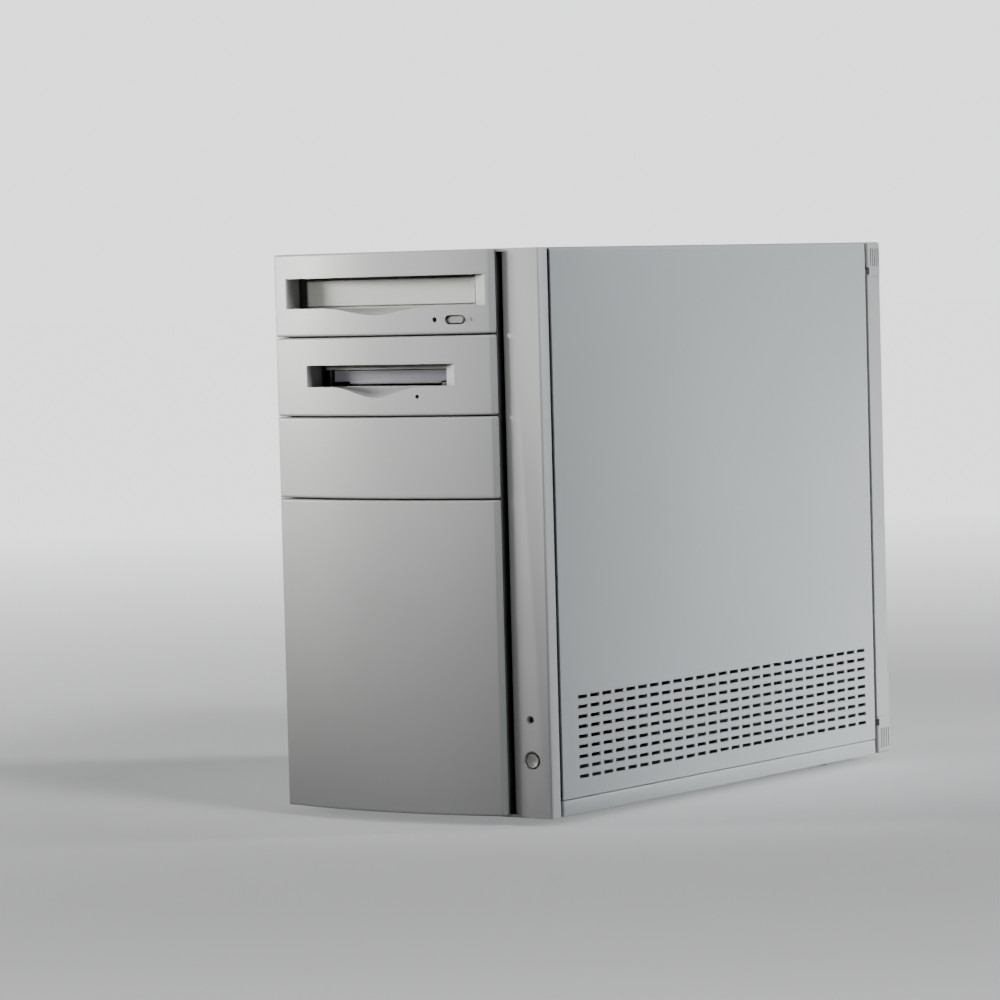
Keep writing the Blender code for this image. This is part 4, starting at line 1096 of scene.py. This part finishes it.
def d_socket(node, name, first_row, second_row, male):
    """D-shaped connector on its plate, with two jack screws and its contacts."""
    low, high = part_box(node)
    x, _, z = centre_of(node)
    span = (max(first_row, second_row) * CONTACT_PITCH) / 2 + 0.0018
    back = high[1]
    body = ((low[0] + 0.0008, low[1], low[2] + 0.006), (high[0] - 0.0008, 0.1884, high[2] - 0.006))
    work = shape(add_box, *body, 1, 0.0004, 1)
    add_box(work, (low[0], 0.1903, low[2]), (high[0], 0.1914, high[2]), 0, 0.0003, 1)
    prism(work, d_outline(x, z, span + 0.0008, 0.0043), 0.1912, back, "XZ", 0)
    for end in (low[2] + 0.0030, high[2] - 0.0030):
        add_rod(work, (x, 0.1928, end), "Y", 0.0024, 0.0030, 6, 0)
        add_rod(work, (x, 0.1944, end), "Y", 0.0011, 0.0006, 12, 1)
    shell = finish_mesh(work, name, [ZINC_FINE, BLACK, GOLD])
    recess = 0.0030 if male else 0.0006
    carve(shell, shape(prism, d_outline(x, z, span + 0.0003, 0.0038), back - recess, back + 0.001, "XZ"))
    paint_faces(shell, 1, lambda c: c.y > 0.1918 and abs(c.z - z) < span and abs(c.x - x) < 0.0036)
    place(even_normals(shell), "zinc_steel", [node])
    work = bmesh.new()
    depth, radius, length = (0.0018, 0.0005, 0.0026) if male else (0.0006, 0.0006, 0.0003)
    for count, pin_x in ((first_row, x + 0.0014), (second_row, x - 0.0014)):
        for pin in range(count):
            pin_z = z + (pin - (count - 1) / 2) * CONTACT_PITCH
            add_rod(work, (pin_x, back - depth, pin_z), "Y", radius, length, 10, 0)
    finish(work, f"{name}_pins", [GOLD], "zinc_steel")


def build_keyboard_ports():
    low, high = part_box("ps2_ports")
    x, back = centre_of("ps2_ports")[0], high[1]
    work = shape(add_box, low, (high[0], back - 0.0010, high[2]), 0, 0.0006, 2)
    block = finish_mesh(work, "mini_din_block", [BLACK, SHUTTER, GOLD])
    sockets = [low[2] + (high[2] - low[2]) * share for share in (0.27, 0.73)]
    work = bmesh.new()
    for z in sockets:
        add_rod(work, (x, back, z), "Y", 0.0048, 0.0120, 40)
    carve(block, work)
    place(block, "shutter_grey", ["ps2_ports"])
    work = bmesh.new()
    for z in sockets:
        profile = [(0.0048, -0.0040), (0.0060, -0.0012), (0.0060, 0.0), (0.0048, 0.0)]
        add_turned(work, profile, (x, back, z), "Y", 48, 0)
        add_rod(work, (x, back - 0.0052, z), "Y", 0.0042, 0.0016, 32, 1)
        for hole_x, hole_z in arc((x, z), 0.0027, 30, 330, 5):
            add_rod(work, (hole_x, back - 0.0043, hole_z), "Y", 0.0005, 0.0003, 8, 2)
    finish(work, "mini_din_sockets", [SHUTTER, BLACK, GOLD], "shutter_grey", sharp=40)


def build_mains_inlet():
    low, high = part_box("power_inlet")
    x, _, z = centre_of("power_inlet")
    work = shape(add_box, (low[0], 0.1898, low[2]), high, 0, 0.0006, 3)
    add_box(work, (low[0] + 0.0026, low[1], low[2] + 0.0021), (high[0] - 0.0026, 0.1900, high[2] - 0.0021))
    inlet = settle(finish_mesh(work, "mains_socket", [BLACK]))
    wide, tall, chamfer = 0.0121, 0.0083, 0.0042
    shoulder = z + tall - chamfer
    outline = [(x - wide, z - tall), (x + wide, z - tall), (x + wide, shoulder),
               (x + wide - chamfer, z + tall), (x - wide + chamfer, z + tall), (x - wide, shoulder)]
    carve(inlet, shape(prism, outline, low[1] + 0.0040, high[1] + PAST, "XZ"), overlapping=True)
    place(round_off(inlet, 0.0003, 2, 40), "dark_plastic", ["power_inlet"])
    work = bmesh.new()
    for blade_x, blade_z in ((x, z + 0.0030), (x - 0.0070, z - 0.0030), (x + 0.0070, z - 0.0030)):
        add_box(work, (blade_x - 0.0010, low[1] + 0.0030, blade_z - 0.0020),
                (blade_x + 0.0010, high[1] - 0.0050, blade_z + 0.0020), 0, 0.0004, 2)
    finish(work, "mains_blades", [TIN], "guard_chrome")


def screw(work, centre, axis, radius):
    """Pan-head screw with a cross recess: head in slot 0, recess in slot 1."""
    profile = [(0, 0.0014), (radius * 0.6, 0.0013), (radius * 0.92, 0.0009), (radius, 0.0004), (radius, 0.0),
               (0, 0.0)]
    add_turned(work, profile, centre, axis, 24, 0)
    ways = {letter: Vector(way) for letter, way in (("X", (1, 0, 0)), ("Y", (0, 1, 0)), ("Z", (0, 0, 1)))}
    along = ways.pop(axis)
    middle = Vector(centre) + along * 0.00138
    first, second = ways.values()
    for long_way, short_way in ((first, second), (second, first)):
        half = long_way * radius * 0.55 + short_way * radius * 0.11 + along * 0.00006
        add_box(work, middle - half, middle + half, 1)


def build_screws():
    rear = side("chassis_rear", 1, 1)
    work = bmesh.new()
    for x, z in ((-0.0820, 0.2600), (0.0580, 0.2600), (-0.0820, 0.3370), (0.0580, 0.3370)):
        screw(work, (x, rear, z), "Y", 0.0030)
    for x, z in ((-0.0750, 0.2670), (-0.0110, 0.2670), (-0.0750, 0.3310), (-0.0110, 0.3310)):
        screw(work, (x, rear + 0.0001, z), "Y", 0.0026)
    for node in ("graphics_bracket", "slot_cover_1", "slot_cover_2"):
        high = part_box(node)[1]
        screw(work, (high[0] - 0.0050, 0.1820, high[2]), "Z", 0.0026)
    for node, y, z in (("drive_cage", -0.160, 0.3200), ("drive_cage", -0.060, 0.3200),
                       ("drive_cage", -0.160, 0.2680), ("drive_cage", -0.060, 0.2680),
                       ("hdd_cage", -0.150, 0.1750), ("hdd_cage", -0.050, 0.1750)):
        screw(work, (side(node, 0, 1), y, z), "X", 0.0028)
    finish(work, "screws", [TIN, BLACK], "guard_chrome", sharp=40)


def smooth_route(corners, steps):
    """Points on a smooth curve through every corner."""
    corners = [Vector(corner) for corner in corners]
    ends = [2 * corners[0] - corners[1]] + corners + [2 * corners[-1] - corners[-2]]
    points = []
    for index in range(1, len(ends) - 2):
        before, start, stop, after = ends[index - 1:index + 3]
        for step in range(steps):
            t = step / steps
            second = 2 * before - 5 * start + 4 * stop - after
            third = 3 * start - before - 3 * stop + after
            points.append(0.5 * ((2 * start) + (stop - before) * t + second * t ** 2 + third * t ** 3))
    points.append(corners[-1])
    return points


def build_leads():
    corners = [(-0.0300, 0.0490, 0.2640), (-0.0290, 0.0400, 0.2600), (-0.0280, 0.0330, 0.2400),
               (-0.0330, 0.0450, 0.1900), (-0.0450, 0.0600, 0.1500), (-0.0600, 0.0600, 0.1360),
               (-0.0745, 0.0600, 0.1350)]
    route = smooth_route(corners, 9)
    work = bmesh.new()
    wire_radius, sides = 0.00082, 8
    strands = [(0.0, 0.0)] + [(0.0019, 60 * step) for step in range(6)]
    strands += [(0.0032, 36 * step + 9) for step in range(10)]
    for strand, (offset, start) in enumerate(strands):
        sections = []
        for index, point in enumerate(route):
            before = route[max(index - 1, 0)]
            after = route[min(index + 1, len(route) - 1)]
            along = (after - before).normalized()
            across = along.cross(Vector((1, 0, 0))).normalized()
            upward = along.cross(across).normalized()
            twist = math.radians(start + 4.0 * index)
            middle = point + across * offset * math.cos(twist) + upward * offset * math.sin(twist)
            angles = [2 * math.pi * corner / sides for corner in range(sides)]
            sections.append([tuple(middle + across * wire_radius * math.cos(angle)
                                   + upward * wire_radius * math.sin(angle)) for angle in angles])
        add_loft(work, sections, strand % len(WIRE_COLOURS))
    finish(work, "supply_leads", WIRE_COLOURS, "wire_black", ["psu_harness"], sharp=50)
    work = bmesh.new()
    for index in (8, 24, 38):
        along = (route[index + 1] - route[index - 1]).normalized()
        turn = along.to_track_quat("Z", "Y").to_matrix().to_4x4()
        add_cylinder(work, Matrix.Translation(route[index]) @ turn, 0.00405, 0.0022, 24)
    finish(work, "lead_ties", [LABEL], "socket_ivory", sharp=40)

    low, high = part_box("ribbon_cable")
    left, right = low[0] - 0.001, high[0] + 0.001
    work = shape(add_box, (left, -0.0235, 0.1590), (right, -0.0160, 0.1680), 0, 0.0006, 2)
    add_box(work, (left, 0.0082, 0.3145), (right, 0.0162, 0.3235), 0, 0.0006, 2)
    finish(work, "ribbon_sockets", [BLACK], "dark_plastic")


def build_feet():
    for node in ("foot_front_left", "foot_front_right", "foot_rear_left", "foot_rear_right"):
        x, y, _ = centre_of(node)
        top = side(node, 2, 1)
        profile = [(0, 0.0012), (0.0040, 0.0012), (0.0046, 0.0), (0.0084, 0.0), (0.0090, 0.0006),
                   (0.0099, top - 0.0006), (0.0096, top), (0, top)]
        finish(shape(add_turned, profile, (x, y, 0.0), "Z", 48), f"{node}_pad", [RUBBER],
               "foot_rubber", [node], sharp=45)


for build in (build_plain_fronts, build_disc_front, build_eject_mark, build_floppy_front, build_front_frame,
              build_power_controls, build_covers, build_rear_frame, build_disc_tray, build_floppy_drive,
              build_hard_drive, build_board_chips, build_board_parts, build_coils_and_cell, build_memory,
              build_heatsink, build_card_parts, build_cooling):
    build()
d_socket("parallel_port", "parallel_socket", 13, 12, False)
d_socket("serial_port", "serial_plug", 5, 4, True)
for build in (build_keyboard_ports, build_mains_inlet, build_screws, build_leads, build_feet):
    build()

assign(ZINC, "chassis_base", "chassis_front", "chassis_rear", "motherboard_tray", "drive_cage", "hdd_cage")
assign(ZINC_FINE, "cd_drive_case", "floppy_drive_case", "floppy_bracket_left", "floppy_bracket_right",
       "psu_case", "io_shield", "graphics_bracket", "slot_cover_1", "slot_cover_2")
assign(FACE_WARM, "cd_drive_face")
assign(BLACK, "power_switch", "cpu_fan_frame", "psu_rocker")
assign(MASK, "motherboard", "graphics_card")
assign(IVORY, "cpu_socket", "memory_sockets", "expansion_slot_1", "expansion_slot_2", "expansion_slot_3",
       "board_power_plug")
assign(CABLE, "ribbon_cable")


# ---------------------------------------------------------------- floor, light and camera
FLOOR_GLOW = (0.30, 1.95, 0.35, 3.2)   # near and far brightness, and the distances they belong to


def studio_surface(name, colour):
    """Matt floor that brightens into the backdrop with distance."""
    look = Look(name, colour, 0.75)
    look.colour(look.mottled(3.0, 3.0, tint(colour, 0.99), colour))
    look.bumps((look.noise(900.0, 2.0), 0.03, 0.0001))
    distance = look.add("ShaderNodeVectorMath", operation="LENGTH")
    look.link(look.place, distance.inputs[0])
    glow = look.ramp(distance.outputs["Value"], *FLOOR_GLOW)
    seen = look.add("ShaderNodeLightPath")
    shown = look.add("ShaderNodeMath", operation="MULTIPLY")
    look.link(glow, shown.inputs[0])
    look.link(seen.outputs["Is Camera Ray"], shown.inputs[1])
    look.shader.inputs["Emission Color"].default_value = (*COOL_WHITE, 1.0)
    look.link(shown.outputs[0], look.shader.inputs["Emission Strength"])
    return look.material


def build_stage():
    work = bmesh.new()
    reach = 40.0
    corners = [(-reach, -reach), (reach, -reach), (reach, reach), (-reach, reach)]
    work.faces.new([work.verts.new((x, y, 0.0)) for x, y in corners])
    floor = finish_mesh(work, "studio_floor", [studio_surface("studio_white", (0.52, 0.52, 0.52))])


def area_light(name, position, target, size, power, spread=180.0, colour=(1.0, 1.0, 1.0)):
    """Rectangular lamp aimed at a target, with its spread in degrees."""
    lamp = bpy.data.lights.new(name, "AREA")
    lamp.spread = math.radians(spread)
    lamp.shape = "RECTANGLE"
    lamp.size, lamp.size_y = size
    lamp.energy = power
    lamp.color = colour
    holder = bpy.data.objects.new(name, lamp)
    holder.location = position
    aim = Vector(target) - Vector(position)
    holder.rotation_euler = aim.to_track_quat("-Z", "Y").to_euler()
    bpy.context.scene.collection.objects.link(holder)


def build_light():
    world = bpy.data.worlds.new("studio")
    bpy.context.scene.world = world
    world.use_nodes = True
    tree = world.node_tree
    seen = tree.nodes.new("ShaderNodeLightPath").outputs["Is Camera Ray"]
    level = tree.nodes.new("ShaderNodeMapRange")
    level.inputs["To Min"].default_value = 0.035   # what lights the tower
    level.inputs["To Max"].default_value = 2.0     # what the camera sees
    tree.links.new(seen, level.inputs["Value"])
    tree.links.new(level.outputs["Result"], tree.nodes["Background"].inputs["Strength"])
    tree.nodes["Background"].inputs["Color"].default_value = (*COOL_WHITE, 1.0)
    warm, cool = (1.0, 0.99, 0.97), (0.97, 0.985, 1.0)
    area_light("key_left", (-1.30, -0.90, 0.50), (-0.10, -0.20, 0.335), (0.65, 0.26), 1.95, 28.0, warm)
    area_light("front_fill", (-0.55, -1.80, 0.56), (-0.10, -0.20, 0.31), (0.5, 0.3), 0.25, 22.0, warm)
    area_light("side_rear", (1.95, 1.55, 0.62), (0.10, 0.27, 0.06), (0.5, 0.4), 1.7, 20.0, cool)
    area_light("side_top", (1.50, -0.38, 1.35), (0.10, -0.06, 0.50), (0.8, 0.5), 2.1, 32.0, cool)
    area_light("top_soft", (0.1, 0.2, 2.40), (0.0, 0.0, 0.18), (2.4, 2.4), 3.6)


CAMERA_PLACE = (1.5859, -2.36317, 0.32638)
CAMERA_TURN = (34.98683, 2.813229, -1.505507)   # yaw, downward pitch and roll, in degrees
CAMERA_LENS = 159.05


def build_camera():
    yaw, pitch, roll = (math.radians(angle) for angle in CAMERA_TURN)
    backward = Vector((math.sin(yaw) * math.cos(pitch), -math.cos(yaw) * math.cos(pitch), math.sin(pitch)))
    across = Vector((math.cos(yaw), math.sin(yaw), 0.0))
    upward = backward.cross(across)
    right = math.cos(roll) * across + math.sin(roll) * upward
    up = -math.sin(roll) * across + math.cos(roll) * upward
    turn = Matrix((right, up, backward)).transposed().to_4x4()
    data = bpy.data.cameras.new("photo_camera")
    data.lens = CAMERA_LENS
    data.sensor_width = 36.0
    data.clip_end = 50.0
    holder = bpy.data.objects.new("photo_camera", data)
    holder.matrix_world = Matrix.Translation(CAMERA_PLACE) @ turn
    bpy.context.scene.collection.objects.link(holder)
    bpy.context.scene.camera = holder


build_stage()
build_light()
build_camera()
